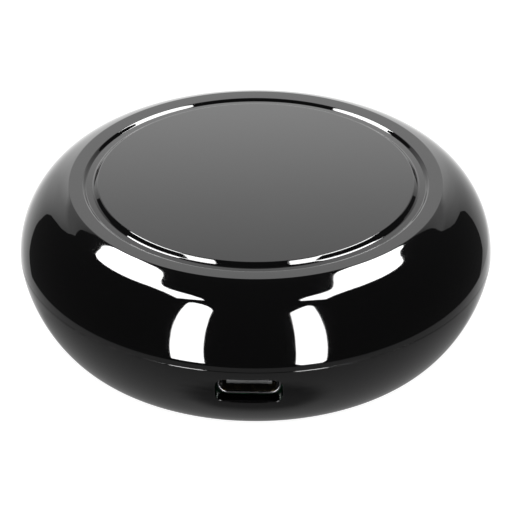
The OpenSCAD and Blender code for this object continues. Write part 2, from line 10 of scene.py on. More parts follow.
import bmesh
import bpy
from bpy.props import FloatProperty, FloatVectorProperty, IntProperty, PointerProperty
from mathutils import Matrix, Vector


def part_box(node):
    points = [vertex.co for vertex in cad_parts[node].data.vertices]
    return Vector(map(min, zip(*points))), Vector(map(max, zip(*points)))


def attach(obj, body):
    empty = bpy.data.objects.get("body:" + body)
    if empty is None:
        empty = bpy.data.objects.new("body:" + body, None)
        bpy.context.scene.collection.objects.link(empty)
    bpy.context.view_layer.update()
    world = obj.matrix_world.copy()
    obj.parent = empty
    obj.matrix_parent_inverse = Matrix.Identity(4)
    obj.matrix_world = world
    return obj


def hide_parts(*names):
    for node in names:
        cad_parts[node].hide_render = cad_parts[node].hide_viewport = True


bl_info = {
    "name": "Infrared Hub Looks",
    "version": (1, 0, 0),
    "blender": (4, 5, 0),
    "location": "3D View > Sidebar > Infrared Hub",
    "description": "Models and finishes a gloss-black infrared hub round its CAD frame",
    "category": "Object",
}

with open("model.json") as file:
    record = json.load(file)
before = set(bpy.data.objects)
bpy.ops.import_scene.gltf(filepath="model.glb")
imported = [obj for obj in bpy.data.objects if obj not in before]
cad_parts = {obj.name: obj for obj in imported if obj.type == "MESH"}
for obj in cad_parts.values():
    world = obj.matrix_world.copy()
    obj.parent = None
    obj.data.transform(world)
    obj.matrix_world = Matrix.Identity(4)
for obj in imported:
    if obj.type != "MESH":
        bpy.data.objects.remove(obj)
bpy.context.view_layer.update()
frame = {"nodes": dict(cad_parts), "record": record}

MM = 0.001
FULL_TURN = 2 * math.pi
QUARTER = math.pi / 2

# Sizes that the frame gives
BODY_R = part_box("lower_shell")[1].x
BASE_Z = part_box("lower_shell")[0].z
RING_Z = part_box("upper_shell")[1].z
PANEL_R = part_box("top_panel")[1].x
PLATEAU_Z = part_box("top_panel")[0].z
PANEL_TOP_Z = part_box("top_panel")[1].z
POCKET_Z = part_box("panel_adhesive")[0].z
FOOT_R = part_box("rubber_foot")[1].x
FOOT_TOP_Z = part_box("foot_adhesive")[1].z
TAPE_LOW_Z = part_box("foot_adhesive")[0].z
BUTTON_LOW_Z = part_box("reset_button")[0].z
BUTTON_TOP_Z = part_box("reset_button")[1].z
FLANGE_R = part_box("reset_button")[1].x
PORT_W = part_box("usb_shell")[1].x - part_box("usb_shell")[0].x
PORT_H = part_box("usb_shell")[1].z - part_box("usb_shell")[0].z
PORT_Z = (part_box("usb_shell")[1].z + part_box("usb_shell")[0].z) / 2
PORT_FACE_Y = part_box("usb_shell")[0].y
PORT_BACK_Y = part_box("usb_shell")[1].y
TONGUE_TIP_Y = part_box("usb_tongue")[0].y

# Extra reach of a cutter past the faces that it cuts
CUT_OVER = 0.5 * MM
# Distance under which points are merged, and under which a point counts as on the belly
WELD = 0.001 * MM
NEAR = 0.004 * MM


class HousingSizes(bpy.types.PropertyGroup):
    seam_z: FloatProperty(
        name="Seam height", description="Height of the seam above the table",
        default=13.2 * MM, unit="LENGTH")
    shoulder_reach: FloatProperty(
        name="Shoulder reach", description="How far the shoulder's whole curve reaches in",
        default=8.08 * MM, unit="LENGTH")
    shoulder_cut: FloatProperty(
        name="Shoulder cut",
        description="How much higher the shoulder's curve would rise without the ring",
        default=0.1 * MM, unit="LENGTH")
    belly_reach: FloatProperty(
        name="Belly reach", description="How far the belly curves in, down to the base",
        default=7.9 * MM, unit="LENGTH")
    shoulder_power: FloatProperty(
        name="Shoulder power", description="Power of the shoulder's curve, 2 being an ellipse",
        default=1.88)
    belly_power: FloatProperty(
        name="Belly power", description="Power of the belly's curve, a lower one being straighter",
        default=1.56)
    upper_wall: FloatProperty(
        name="Upper wall", description="Wall of the upper shell", default=2 * MM, unit="LENGTH")
    lower_wall: FloatProperty(
        name="Lower wall", description="Wall of the lower shell", default=1.8 * MM, unit="LENGTH")
    floor_t: FloatProperty(
        name="Floor", description="Thickness of the lower shell's floor",
        default=1.8 * MM, unit="LENGTH")
    ceiling_t: FloatProperty(
        name="Ceiling", description="Thickness of the upper shell under the groove",
        default=2.1 * MM, unit="LENGTH")
    lap_h: FloatProperty(
        name="Lap height", description="Height of the lip inside the seam",
        default=1.3 * MM, unit="LENGTH")
    lap_t: FloatProperty(
        name="Lap thickness", description="Thickness of the lip inside the seam",
        default=0.8 * MM, unit="LENGTH")
    lap_gap: FloatProperty(
        name="Lap gap", description="Clearance round the lip inside the seam",
        default=0.1 * MM, unit="LENGTH")
    seam_edge_r: FloatProperty(
        name="Seam edge", description="Rounding of both edges of the seam",
        default=0.06 * MM, unit="LENGTH")
    ring_w: FloatProperty(
        name="Ring width", description="Width of the flat ring, from the groove to the shoulder",
        default=2.1 * MM, unit="LENGTH")
    ring_dish: FloatProperty(
        name="Ring dish", description="How much lower the ring lies at the groove than at the shoulder",
        default=0.015 * MM, unit="LENGTH")
    lip_r: FloatProperty(
        name="Lip rounding", description="Rounding of the ring's lip beside the groove",
        default=0.3 * MM, unit="LENGTH")
    groove_depth: FloatProperty(
        name="Groove depth", description="Depth of the groove below the ring",
        default=0.3 * MM, unit="LENGTH")
    groove_out_angle: FloatProperty(
        name="Outer slope", description="Slope of the groove's outer side, in degrees",
        default=39.0)
    groove_in_angle: FloatProperty(
        name="Inner slope",
        description="Slope of the groove's inner side and of the panel's bevel, in degrees",
        default=43.0)
    groove_out_r: FloatProperty(
        name="Outer fillet", description="Fillet between the groove's bottom and its outer side",
        default=0.2 * MM, unit="LENGTH")
    groove_in_r: FloatProperty(
        name="Inner fillet", description="Fillet between the groove's bottom and its inner side",
        default=0.45 * MM, unit="LENGTH")
    panel_edge_r: FloatProperty(
        name="Panel edge", description="Rounding of the panel's upper edge",
        default=0.2 * MM, unit="LENGTH")
    panel_rim_w: FloatProperty(
        name="Panel rim", description="Width of the panel's rim that rests on the plateau",
        default=0.6 * MM, unit="LENGTH")
    foot_gap: FloatProperty(
        name="Foot gap", description="Gap between the foot and its recess",
        default=0.2 * MM, unit="LENGTH")
    foot_edge_r: FloatProperty(
        name="Foot edge", description="Rounding of the foot's lower edges",
        default=0.3 * MM, unit="LENGTH")
    island_r: FloatProperty(
        name="Island radius", description="Radius of the base round the button",
        default=4.55 * MM, unit="LENGTH")
    button_hole_r: FloatProperty(
        name="Button hole", description="Radius of the button's hole",
        default=2.55 * MM, unit="LENGTH")
    button_gap: FloatProperty(
        name="Button gap", description="Gap between the button and its hole",
        default=0.15 * MM, unit="LENGTH")
    button_edge_r: FloatProperty(
        name="Button edge", description="Rounding of the button's face",
        default=0.2 * MM, unit="LENGTH")
    button_dish: FloatProperty(
        name="Button dish", description="Depth of the hollow in the button's face",
        default=0.12 * MM, unit="LENGTH")
    button_rim_w: FloatProperty(
        name="Button rim", description="Width of the flat rim round the hollow",
        default=0.7 * MM, unit="LENGTH")
    flange_t: FloatProperty(
        name="Button flange", description="Thickness of the flange that holds the button in",
        default=0.7 * MM, unit="LENGTH")
    flange_play: FloatProperty(
        name="Flange play", description="Gap between the flange and the floor",
        default=0.05 * MM, unit="LENGTH")
    stem_r: FloatProperty(
        name="Button stem", description="Radius of the stem that reaches the switch",
        default=1.4 * MM, unit="LENGTH")
    turns: IntProperty(
        name="Steps round", description="Steps of a full turn on the housing", default=256)


class PortSizes(bpy.types.PropertyGroup):
    opening_w: FloatProperty(
        name="Opening width", description="Width of the opening in the housing",
        default=9.5 * MM, unit="LENGTH")
    opening_h: FloatProperty(
        name="Opening height", description="Height of the opening in the housing",
        default=4.45 * MM, unit="LENGTH")
    opening_corner_r: FloatProperty(
        name="Opening corners", description="Corner radius of the opening",
        default=1.4 * MM, unit="LENGTH")
    opening_edge_r: FloatProperty(
        name="Opening edge", description="Rounding of the opening's outer edge",
        default=0.1 * MM, unit="LENGTH")
    sheet_t: FloatProperty(
        name="Sheet", description="Sheet thickness of the receptacle",
        default=0.3 * MM, unit="LENGTH")
    sheet_edge_r: FloatProperty(
        name="Sheet edge", description="Rounding of the receptacle's mouth",
        default=0.09 * MM, unit="LENGTH")
    tongue_w: FloatProperty(
        name="Tongue width", description="Width of the tongue", default=6.4 * MM, unit="LENGTH")
    tongue_t: FloatProperty(
        name="Tongue thickness", description="Thickness of the tongue",
        default=0.7 * MM, unit="LENGTH")
    tongue_edge: FloatProperty(
        name="Tongue edge", description="Bevel of the tongue's edges",
        default=0.12 * MM, unit="LENGTH")
    tongue_back_t: FloatProperty(
        name="Tongue base", description="Length of the block that carries the tongue",
        default=1.8 * MM, unit="LENGTH")
    contact_count: IntProperty(
        name="Contacts", description="Contacts on each side of the tongue", default=12)
    contact_pitch: FloatProperty(
        name="Contact pitch", description="Distance between contacts",
        default=0.5 * MM, unit="LENGTH")
    contact_w: FloatProperty(
        name="Contact width", description="Width of a contact", default=0.26 * MM, unit="LENGTH")
    contact_l: FloatProperty(
        name="Contact length", description="Length of a contact", default=3.2 * MM, unit="LENGTH")
    contact_t: FloatProperty(
        name="Contact thickness", description="How far a contact stands out of the tongue",
        default=0.06 * MM, unit="LENGTH")
    contact_edge: FloatProperty(
        name="Contact edge", description="Bevel of a contact's edges",
        default=0.02 * MM, unit="LENGTH")


class Finishes(bpy.types.PropertyGroup):
    housing: FloatVectorProperty(
        name="Housing", description="Gloss black of the housing", subtype="COLOR",
        default=(0.0022, 0.0022, 0.0024))
    panel: FloatVectorProperty(
        name="Panel", description="Black of the top panel", subtype="COLOR",
        default=(0.0022, 0.0022, 0.0024))
    rubber: FloatVectorProperty(
        name="Rubber", description="Black of the foot",
        subtype="COLOR", default=(0.018, 0.018, 0.019))
    port_metal: FloatVectorProperty(
        name="Port metal", description="Dark plating of the receptacle", subtype="COLOR",
        default=(0.12, 0.12, 0.125))
    # Painted shade: the board's green is set darker than its solder mask, so that the board seen through
    # the port's opening reads as dark as the shade inside the housing
    board: FloatVectorProperty(
        name="Board", description="Solder mask of the main board", subtype="COLOR",
        default=(0.006, 0.05, 0.02))
    radio_mask: FloatVectorProperty(
        name="Radio board", description="Solder mask of the radio module", subtype="COLOR",
        default=(0.02, 0.05, 0.2))


class StudioLevels(bpy.types.PropertyGroup):
    lamp_level: FloatProperty(
        name="Lamp level", description="Light on matt surfaces, 1 being a plain level", default=1.0)
    softbox_level: FloatProperty(
        name="Softbox level", description="Brightness of the softboxes in a gloss surface",
        default=28.0)
    backdrop_level: FloatProperty(
        name="Backdrop level", description="Brightness of the backdrop in a gloss surface",
        default=1.0)
    ground_level: FloatProperty(
        name="Ground level", description="Brightness of the ground in a gloss surface",
        default=0.36)
    dark_level: FloatProperty(
        name="Dark level", description="Brightness of the dark studio in a gloss surface",
        default=0.07)
    fill_level: FloatProperty(
        name="Fill level", description="Soft light from all round on matt surfaces", default=0.25)
    floor_level: FloatProperty(
        name="Floor level", description="Brightness that the camera sees in the floor's shadow",
        default=0.93)
    camera_distance: FloatProperty(
        name="Camera distance", description="Distance of the camera from its aim",
        default=0.68, unit="LENGTH")
    camera_azimuth: FloatProperty(
        name="Camera azimuth", description="Turn of the camera to the right of the port",
        default=math.radians(1.7), unit="ROTATION")
    camera_elevation: FloatProperty(
        name="Camera elevation", description="Height of the camera above the horizon",
        default=math.radians(30.96), unit="ROTATION")
    camera_lens: FloatProperty(
        name="Camera lens", description="Focal length in millimetres", default=330.8)
    aim_drop: FloatProperty(
        name="Aim drop", description="How far the camera aims below the middle of the seam",
        default=1.292 * MM, unit="LENGTH")
    aim_right: FloatProperty(
        name="Aim right", description="How far the camera aims to the right of the middle of the seam",
        default=0.029 * MM, unit="LENGTH")


def housing_sizes():
    return bpy.context.scene.hub_housing


def port_sizes():
    return bpy.context.scene.hub_port


def finishes():
    return bpy.context.scene.hub_finishes


def studio():
    return bpy.context.scene.hub_studio


# Modelling helpers


def deselect():
    """Leaves edit mode with nothing selected."""
    if bpy.context.object and bpy.context.object.mode != "OBJECT":
        bpy.ops.object.mode_set(mode="OBJECT")
    bpy.ops.object.select_all(action="DESELECT")


def activate(obj):
    """Leaves one object selected and active."""
    deselect()
    obj.select_set(True)
    bpy.context.view_layer.objects.active = obj


def apply_modifier(obj, modifier):
    activate(obj)
    bpy.ops.object.modifier_apply(modifier=modifier.name)


def curve_point(start_r, start_z, reach, rise, power, angle):
    """Point (r, z) of a power curve, from its widest place at angle 0 to its far end at 90 degrees."""
    across = max(math.cos(angle), 0.0) ** (2 / power)
    up = max(math.sin(angle), 0.0) ** (2 / power)
    return (start_r + reach * across, start_z + rise * up)


def curve_points(start_r, start_z, reach, rise, power, a0, a1, steps):
    """Points (r, z) of a power curve between two angles."""
    return [curve_point(start_r, start_z, reach, rise, power, a0 + (a1 - a0) * i / steps)
            for i in range(steps + 1)]


def arc_points(centre, r, a0, a1, steps=6):
    """Points (r, z) of a round arc between two angles in degrees."""
    angles = [math.radians(a0 + (a1 - a0) * i / steps) for i in range(steps + 1)]
    return [(centre[0] + r * math.cos(a), centre[1] + r * math.sin(a)) for a in angles]


def half_tangent(angle):
    """How far a rounding reaches along each face, per unit of its radius, at a turn in degrees."""
    return math.tan(math.radians(angle) / 2)


def held_flat(start, end, margin=0.04 * MM):
    """A straight run of a profile, held by a point just inside each end so that its gloss stays flat."""
    a, b = Vector(start), Vector(end)
    step = (b - a).normalized() * margin
    return [tuple(a), tuple(a + step), tuple(b - step), tuple(b)]


def weld():
    """In edit mode, merges the points that lie together and turns every face outwards."""
    bpy.ops.mesh.select_all(action="SELECT")
    bpy.ops.mesh.remove_doubles(threshold=WELD)
    bpy.ops.mesh.normals_make_consistent(inside=False)


def spin_profile(name, points, steps):
    """A solid of revolution: one vertex is extruded round the profile's points (r, z), then spun."""
    deselect()
    bpy.ops.mesh.primitive_plane_add(size=MM)
    obj = bpy.context.object
    obj.name = name
    bpy.ops.object.mode_set(mode="EDIT")
    bpy.ops.mesh.merge(type="CENTER")
    bpy.ops.transform.translate(value=(points[0][0], 0, points[0][1]))
    for (r0, z0), (r1, z1) in zip(points, points[1:] + points[:1]):
        bpy.ops.mesh.extrude_region_move(TRANSFORM_OT_translate={"value": (r1 - r0, 0, z1 - z0)})
    bpy.ops.mesh.select_all(action="SELECT")
    bpy.ops.mesh.remove_doubles(threshold=WELD)
    bpy.ops.mesh.spin(steps=steps, angle=FULL_TURN, center=(0, 0, 0), axis=(0, 0, 1))
    weld()
    bpy.ops.object.mode_set(mode="OBJECT")
    return obj


def smooth(obj, angle=30):
    """Shades an object smooth, but for edges that turn more than an angle in degrees."""
    activate(obj)
    bpy.ops.object.shade_smooth_by_angle(angle=math.radians(angle))


def finish_piece(obj, body, slot, replaced):
    """Says what a finished piece is: its body, its finish and the CAD node that it stands for."""
    obj.data.materials.clear()
    obj.data.materials.append(bpy.data.materials[slot])
    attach(obj, body)
    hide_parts(replaced)
    deselect()


def round_rect(w, h, r, steps=8):
    """Outline (x, z) of a rectangle with round corners, about its middle, anticlockwise."""
    corners = ((1, 1, 0), (-1, 1, 90), (-1, -1, 180), (1, -1, 270))
    return [point for sx, sz, a in corners
            for point in arc_points((sx * (w / 2 - r), sz * (h / 2 - r)), r, a, a + 90, steps)]


def outward(outline, i):
    """Unit direction (x, z) that points out of a closed anticlockwise outline at one of its points."""
    before = Vector(outline[i - 1])
    after = Vector(outline[(i + 1) % len(outline)])
    along = (after - before).normalized()
    return Vector((along.y, -along.x))


def grown(outline, amount):
    """A closed outline of points (x, z) with every point moved outwards by an amount."""
    moved = []
    for i, (x, z) in enumerate(outline):
        out = outward(outline, i)
        moved.append((x + out.x * amount, z + out.y * amount))
    return moved


def loft_sections(name, sections, close_ends=True):
    """A tube through sections of equal length, each a list of points (x, y, z). The first section is a
    circle primitive whose vertices are moved to it, and each next one is extruded from the last."""
    deselect()
    count = len(sections[0])
    bpy.ops.mesh.primitive_circle_add(vertices=count, radius=MM, fill_type="NOTHING")
    obj = bpy.context.object
    obj.name = name
    bpy.ops.object.mode_set(mode="EDIT")
    bpy.ops.mesh.select_all(action="SELECT")
    mesh = bmesh.from_edit_mesh(obj.data)
    mesh.verts.ensure_lookup_table()
    ring = list(mesh.verts)
    if close_ends:
        bpy.ops.mesh.edge_face_add()
    for k, section in enumerate(sections):
        if k:
            bpy.ops.mesh.extrude_edges_move()
            ring = [next(e.other_vert(v) for e in v.link_edges if e.other_vert(v).select) for v in ring]
        for vertex, place in zip(ring, section):
            vertex.co = place
        bmesh.update_edit_mesh(obj.data)
    if close_ends:
        bpy.ops.mesh.edge_face_add()
    bpy.ops.mesh.select_all(action="SELECT")
    bpy.ops.mesh.normals_make_consistent(inside=False)
    bpy.ops.object.mode_set(mode="OBJECT")
    return obj


# Node groups and materials


def value_group(name, inputs, outputs):
    """An empty node group with named float inputs, a vector input and named float outputs."""
    tree = bpy.data.node_groups.new(name, "ShaderNodeTree")
    tree.interface.new_socket("Vector", in_out="INPUT", socket_type="NodeSocketVector")
    for label, default in inputs:
        socket = tree.interface.new_socket(label, in_out="INPUT", socket_type="NodeSocketFloat")
        socket.default_value = default
    for label in outputs:
        tree.interface.new_socket(label, in_out="OUTPUT", socket_type="NodeSocketFloat")
    return tree, tree.nodes.new("NodeGroupInput"), tree.nodes.new("NodeGroupOutput")


def clouds_group():
    """Soft clouds between a low and a high value."""
    tree, given, result = value_group(
        "Clouds", (("Scale", 100.0), ("Low", 0.0), ("High", 1.0), ("Detail", 3.0)), ("Value",))
    noise = tree.nodes.new("ShaderNodeTexNoise")
    spread = tree.nodes.new("ShaderNodeMapRange")
    spread.inputs["From Min"].default_value = 0.3
    spread.inputs["From Max"].default_value = 0.7
    tree.links.new(given.outputs["Vector"], noise.inputs["Vector"])
    tree.links.new(given.outputs["Scale"], noise.inputs["Scale"])
    tree.links.new(given.outputs["Detail"], noise.inputs["Detail"])
    tree.links.new(noise.outputs["Fac"], spread.inputs["Value"])
    tree.links.new(given.outputs["Low"], spread.inputs["To Min"])
    tree.links.new(given.outputs["High"], spread.inputs["To Max"])
    tree.links.new(spread.outputs["Result"], result.inputs["Value"])
    return tree


def grain_group():
    """Fine moulded grain: a height for bump, from cells and noise."""
    tree, given, result = value_group("Grain", (("Scale", 4000.0),), ("Height",))
    cells = tree.nodes.new("ShaderNodeTexVoronoi")
    cells.feature = "SMOOTH_F1"
    noise = tree.nodes.new("ShaderNodeTexNoise")
    mix = tree.nodes.new("ShaderNodeMath")
    mix.operation = "ADD"
    for node in (cells, noise):
        tree.links.new(given.outputs["Vector"], node.inputs["Vector"])
        tree.links.new(given.outputs["Scale"], node.inputs["Scale"])
    tree.links.new(cells.outputs["Distance"], mix.inputs[0])
    tree.links.new(noise.outputs["Fac"], mix.inputs[1])
    tree.links.new(mix.outputs["Value"], result.inputs["Height"])
    return tree


def brushed_group():
    """Fine lines along X, as rolling or drawing leaves on sheet metal."""
    tree, given, result = value_group(
        "Brushed", (("Scale", 3000.0), ("Low", 0.2), ("High", 0.4)), ("Value", "Height"))
    stretch = tree.nodes.new("ShaderNodeMapping")
    stretch.inputs["Scale"].default_value = (0.03, 1, 1)
    noise = tree.nodes.new("ShaderNodeTexNoise")
    noise.inputs["Detail"].default_value = 4
    spread = tree.nodes.new("ShaderNodeMapRange")
    tree.links.new(given.outputs["Vector"], stretch.inputs["Vector"])
    tree.links.new(stretch.outputs["Vector"], noise.inputs["Vector"])
    tree.links.new(given.outputs["Scale"], noise.inputs["Scale"])
    tree.links.new(noise.outputs["Fac"], spread.inputs["Value"])
    tree.links.new(given.outputs["Low"], spread.inputs["To Min"])
    tree.links.new(given.outputs["High"], spread.inputs["To Max"])
    tree.links.new(spread.outputs["Result"], result.inputs["Value"])
    tree.links.new(noise.outputs["Fac"], result.inputs["Height"])
    return tree


def traces_group():
    """Mask of copper traces and pads that show as ridges through a board's solder mask."""
    tree, given, result = value_group("Traces", (("Scale", 400.0), ("Width", 0.2)), ("Mask",))
    cells = tree.nodes.new("ShaderNodeTexVoronoi")
    cells.distance = "CHEBYCHEV"
    cells.feature = "DISTANCE_TO_EDGE"
    pads = tree.nodes.new("ShaderNodeTexVoronoi")
    pads.inputs["Randomness"].default_value = 0.4
    line = tree.nodes.new("ShaderNodeMath")
    line.operation = "LESS_THAN"
    dot = tree.nodes.new("ShaderNodeMath")
    dot.operation = "LESS_THAN"
    either = tree.nodes.new("ShaderNodeMath")
    either.operation = "MAXIMUM"
    for node in (cells, pads):
        tree.links.new(given.outputs["Vector"], node.inputs["Vector"])
        tree.links.new(given.outputs["Scale"], node.inputs["Scale"])
    tree.links.new(cells.outputs["Distance"], line.inputs[0])
    tree.links.new(pads.outputs["Distance"], dot.inputs[0])
    for node in (line, dot):
        tree.links.new(given.outputs["Width"], node.inputs[1])
    tree.links.new(line.outputs["Value"], either.inputs[0])
    tree.links.new(dot.outputs["Value"], either.inputs[1])
    tree.links.new(either.outputs["Value"], result.inputs["Mask"])
    return tree


GROUP_MAKERS = {
    "Clouds": clouds_group, "Grain": grain_group, "Brushed": brushed_group, "Traces": traces_group,
}


class Finish:
    """A material with its Principled shader, its Object coordinates and calls that wire effects."""

    def __init__(self, name, colour, roughness, metallic=0.0, ior=1.5):
        self.material = bpy.data.materials.new(name)
        self.material.use_nodes = True
        self.nodes = self.material.node_tree.nodes
        self.links = self.material.node_tree.links
        self.shader = self.nodes["Principled BSDF"]
        self.shader.inputs["Base Color"].default_value = (*colour, 1)
        self.shader.inputs["Roughness"].default_value = roughness
        self.shader.inputs["Metallic"].default_value = metallic
        self.shader.inputs["IOR"].default_value = ior
        self.place = self.nodes.new("ShaderNodeTexCoord")
        self.colour = colour

    def effect(self, group, **values):
        """Places a node group, feeds it the Object coordinates and sets its values by name."""
        if group not in bpy.data.node_groups:
            GROUP_MAKERS[group]()
        node = self.nodes.new("ShaderNodeGroup")
        node.node_tree = bpy.data.node_groups[group]
        self.links.new(self.place.outputs["Object"], node.inputs["Vector"])
        for label, value in values.items():
            node.inputs[label].default_value = value
        return node

    def vary_roughness(self, scale, low, high):
        """Soft clouds of roughness between two values."""
        clouds = self.effect("Clouds", Scale=scale, Low=low, High=high)
        self.links.new(clouds.outputs["Value"], self.shader.inputs["Roughness"])
        return self

    def vary_colour(self, scale, other):
        """Soft clouds between the finish's own colour and another."""
        clouds = self.effect("Clouds", Scale=scale, Low=0.0, High=1.0)
        return self.mix_colour(clouds.outputs["Value"], other)

    def mix_colour(self, mask, other):
        """Shows another colour where a mask is 1."""
        mix = self.nodes.new("ShaderNodeMix")
        mix.data_type = "RGBA"
        colour_in = [s for s in mix.inputs if s.type == "RGBA"]
        colour_out = [s for s in mix.outputs if s.type == "RGBA"][0]
        colour_in[0].default_value = (*self.colour, 1)
        colour_in[1].default_value = (*other, 1)
        self.links.new(mask, mix.inputs["Factor"])
        self.links.new(colour_out, self.shader.inputs["Base Color"])
        return self

    def bump(self, height, distance):
        """Bends the surface's normal by a height, of a distance in metres."""
        node = self.nodes.new("ShaderNodeBump")
        node.inputs["Distance"].default_value = distance
        node.inputs["Strength"].default_value = 1.0
        self.links.new(height, node.inputs["Height"])
        self.links.new(node.outputs["Normal"], self.shader.inputs["Normal"])
        return self

    def grain(self, scale, distance):
        """Moulded grain of a depth in metres."""
        return self.bump(self.effect("Grain", Scale=scale).outputs["Height"], distance)

    def brush(self, scale, low, high, distance):
        """Fine lines in the roughness and, of a depth in metres, in the surface."""
        lines = self.effect("Brushed", Scale=scale, Low=low, High=high)
        self.links.new(lines.outputs["Value"], self.shader.inputs["Roughness"])
        return self.bump(lines.outputs["Height"], distance)


def lighter(colour, factor):
    """A colour times a factor, held at white."""
    return tuple(min(1.0, c * factor) for c in colour)


def housing_gloss():
    """Polished black plastic: nearly a mirror, with the slow waviness that moulding leaves."""
    finish = Finish("housing_gloss", finishes().housing, 0.03)
    finish.vary_roughness(90, 0.02, 0.045)
    waves = finish.effect("Clouds", Scale=60, Low=0, High=1, Detail=1)
    return finish.bump(waves.outputs["Value"], 0.002 * MM).material


def panel_gloss():
    finish = Finish("panel_gloss", finishes().panel, 0.03)
    finish.vary_roughness(140, 0.025, 0.05)
    return finish.material


def tape():
    finish = Finish("tape", (0.75, 0.75, 0.7), 0.6)
    finish.vary_colour(900, (0.68, 0.68, 0.62))
    return finish.grain(2500, 0.01 * MM).material


def foot_rubber():
    finish = Finish("foot_rubber", finishes().rubber, 0.7)
    finish.vary_roughness(700, 0.6, 0.8)
    return finish.grain(5000, 0.02 * MM).material


def screw_steel():
    finish = Finish("screw_steel", (0.55, 0.55, 0.57), 0.35, metallic=1.0)
    return finish.brush(2500, 0.28, 0.42, 0.004 * MM).material


def board_mask(name, colour):
    """Solder mask: glossy lacquer over copper traces that show as lighter ridges."""
    finish = Finish(name, colour, 0.28)
    traces = finish.effect("Traces", Scale=420, Width=0.17)
    finish.mix_colour(traces.outputs["Mask"], lighter(colour, 1.9))
    return finish.bump(traces.outputs["Mask"], 0.02 * MM).material


def board_green():
    # Painted shade: the darkened board colour stands in for the shade inside the port's opening
    return board_mask("board_green", finishes().board)


def radio_board_blue():
    return board_mask("radio_board_blue", finishes().radio_mask)


def port_steel():
    finish = Finish("port_steel", finishes().port_metal, 0.14, metallic=1.0)
    return finish.brush(6000, 0.16, 0.28, 0.001 * MM).material


def port_plastic():
    finish = Finish("port_plastic", (0.006, 0.006, 0.006), 0.4)
    finish.vary_roughness(2500, 0.35, 0.5)
    return finish.grain(9000, 0.004 * MM).material


def contact_gold():
    finish = Finish("contact_gold", (0.83, 0.62, 0.25), 0.25, metallic=1.0)
    return finish.brush(9000, 0.2, 0.32, 0.001 * MM).material


def shield_steel():
    finish = Finish("shield_steel", (0.6, 0.6, 0.62), 0.3, metallic=1.0)
    return finish.brush(2500, 0.24, 0.36, 0.003 * MM).material


def antenna_copper():
    finish = Finish("antenna_copper", (0.7, 0.42, 0.2), 0.35, metallic=1.0)
    finish.vary_colour(1500, (0.62, 0.36, 0.16))
    return finish.vary_roughness(2000, 0.28, 0.42).material


def diode_epoxy():
    """Water-clear epoxy with faint flow marks."""
    finish = Finish("diode_epoxy", (0.86, 0.9, 0.97), 0.05, ior=1.52)
    finish.shader.inputs["Transmission Weight"].default_value = 0.9
    return finish.vary_roughness(600, 0.03, 0.1).material


def lead_tin():
    finish = Finish("lead_tin", (0.65, 0.65, 0.66), 0.35, metallic=1.0)
    return finish.brush(5000, 0.28, 0.42, 0.003 * MM).material


def receiver_epoxy():
    finish = Finish("receiver_epoxy", (0.02, 0.016, 0.024), 0.15)
    return finish.vary_roughness(800, 0.1, 0.2).material


def chip_white():
    finish = Finish("chip_white", (0.8, 0.8, 0.72), 0.45)
    finish.vary_colour(3000, (0.74, 0.73, 0.63))
    return finish.grain(7000, 0.004 * MM).material


def can_aluminium():
    finish = Finish("can_aluminium", (0.72, 0.73, 0.75), 0.3, metallic=1.0)
    return finish.brush(3500, 0.22, 0.36, 0.003 * MM).material


def chip_black():
    finish = Finish("chip_black", (0.03, 0.03, 0.03), 0.6)
    finish.vary_roughness(2500, 0.5, 0.7)
    return finish.grain(9000, 0.008 * MM).material


def ferrite():
    finish = Finish("ferrite", (0.1, 0.1, 0.1), 0.7)
    finish.vary_colour(2500, (0.07, 0.07, 0.068))
    return finish.grain(5000, 0.015 * MM).material


def chip_ceramic():
    finish = Finish("chip_ceramic", (0.45, 0.32, 0.2), 0.5)
    finish.vary_colour(3000, (0.38, 0.26, 0.16))
    return finish.grain(8000, 0.005 * MM).material


def switch_steel():
    finish = Finish("switch_steel", (0.65, 0.65, 0.66), 0.3, metallic=1.0)
    return finish.brush(4000, 0.22, 0.38, 0.003 * MM).material


def switch_plastic():
    finish = Finish("switch_plastic", (0.55, 0.5, 0.4), 0.5)
    finish.vary_colour(1800, (0.5, 0.45, 0.35))
    return finish.grain(8000, 0.004 * MM).material


def button_plastic():
    finish = Finish("button_plastic", (0.014, 0.014, 0.015), 0.45)
    finish.vary_roughness(1500, 0.38, 0.52)
    return finish.grain(7000, 0.006 * MM).material


MATERIAL_MAKERS = (
    housing_gloss, panel_gloss, tape, foot_rubber, screw_steel, board_green, port_steel, port_plastic,
    contact_gold, radio_board_blue, shield_steel, antenna_copper, diode_epoxy, lead_tin, receiver_epoxy,
    chip_white, can_aluminium, chip_black, ferrite, chip_ceramic, switch_steel, switch_plastic,
    button_plastic,
)


# Operators, one for each piece or group of like pieces


class HUB_OT_materials(bpy.types.Operator):
    """Makes the materials and gives each CAD node that stays in view its own"""
    bl_idname = "hub.materials"
    bl_label = "Materials"

    def execute(self, context):
        for imported in list(bpy.data.materials):
            bpy.data.materials.remove(imported)
        for maker in MATERIAL_MAKERS:
            maker()
        slots = {row["node"]: row["material_slot"] for row in frame["record"]["subparts"]}
        for node, obj in frame["nodes"].items():
            obj.data.materials.clear()
            obj.data.materials.append(bpy.data.materials[slots[node]])
        return {"FINISHED"}


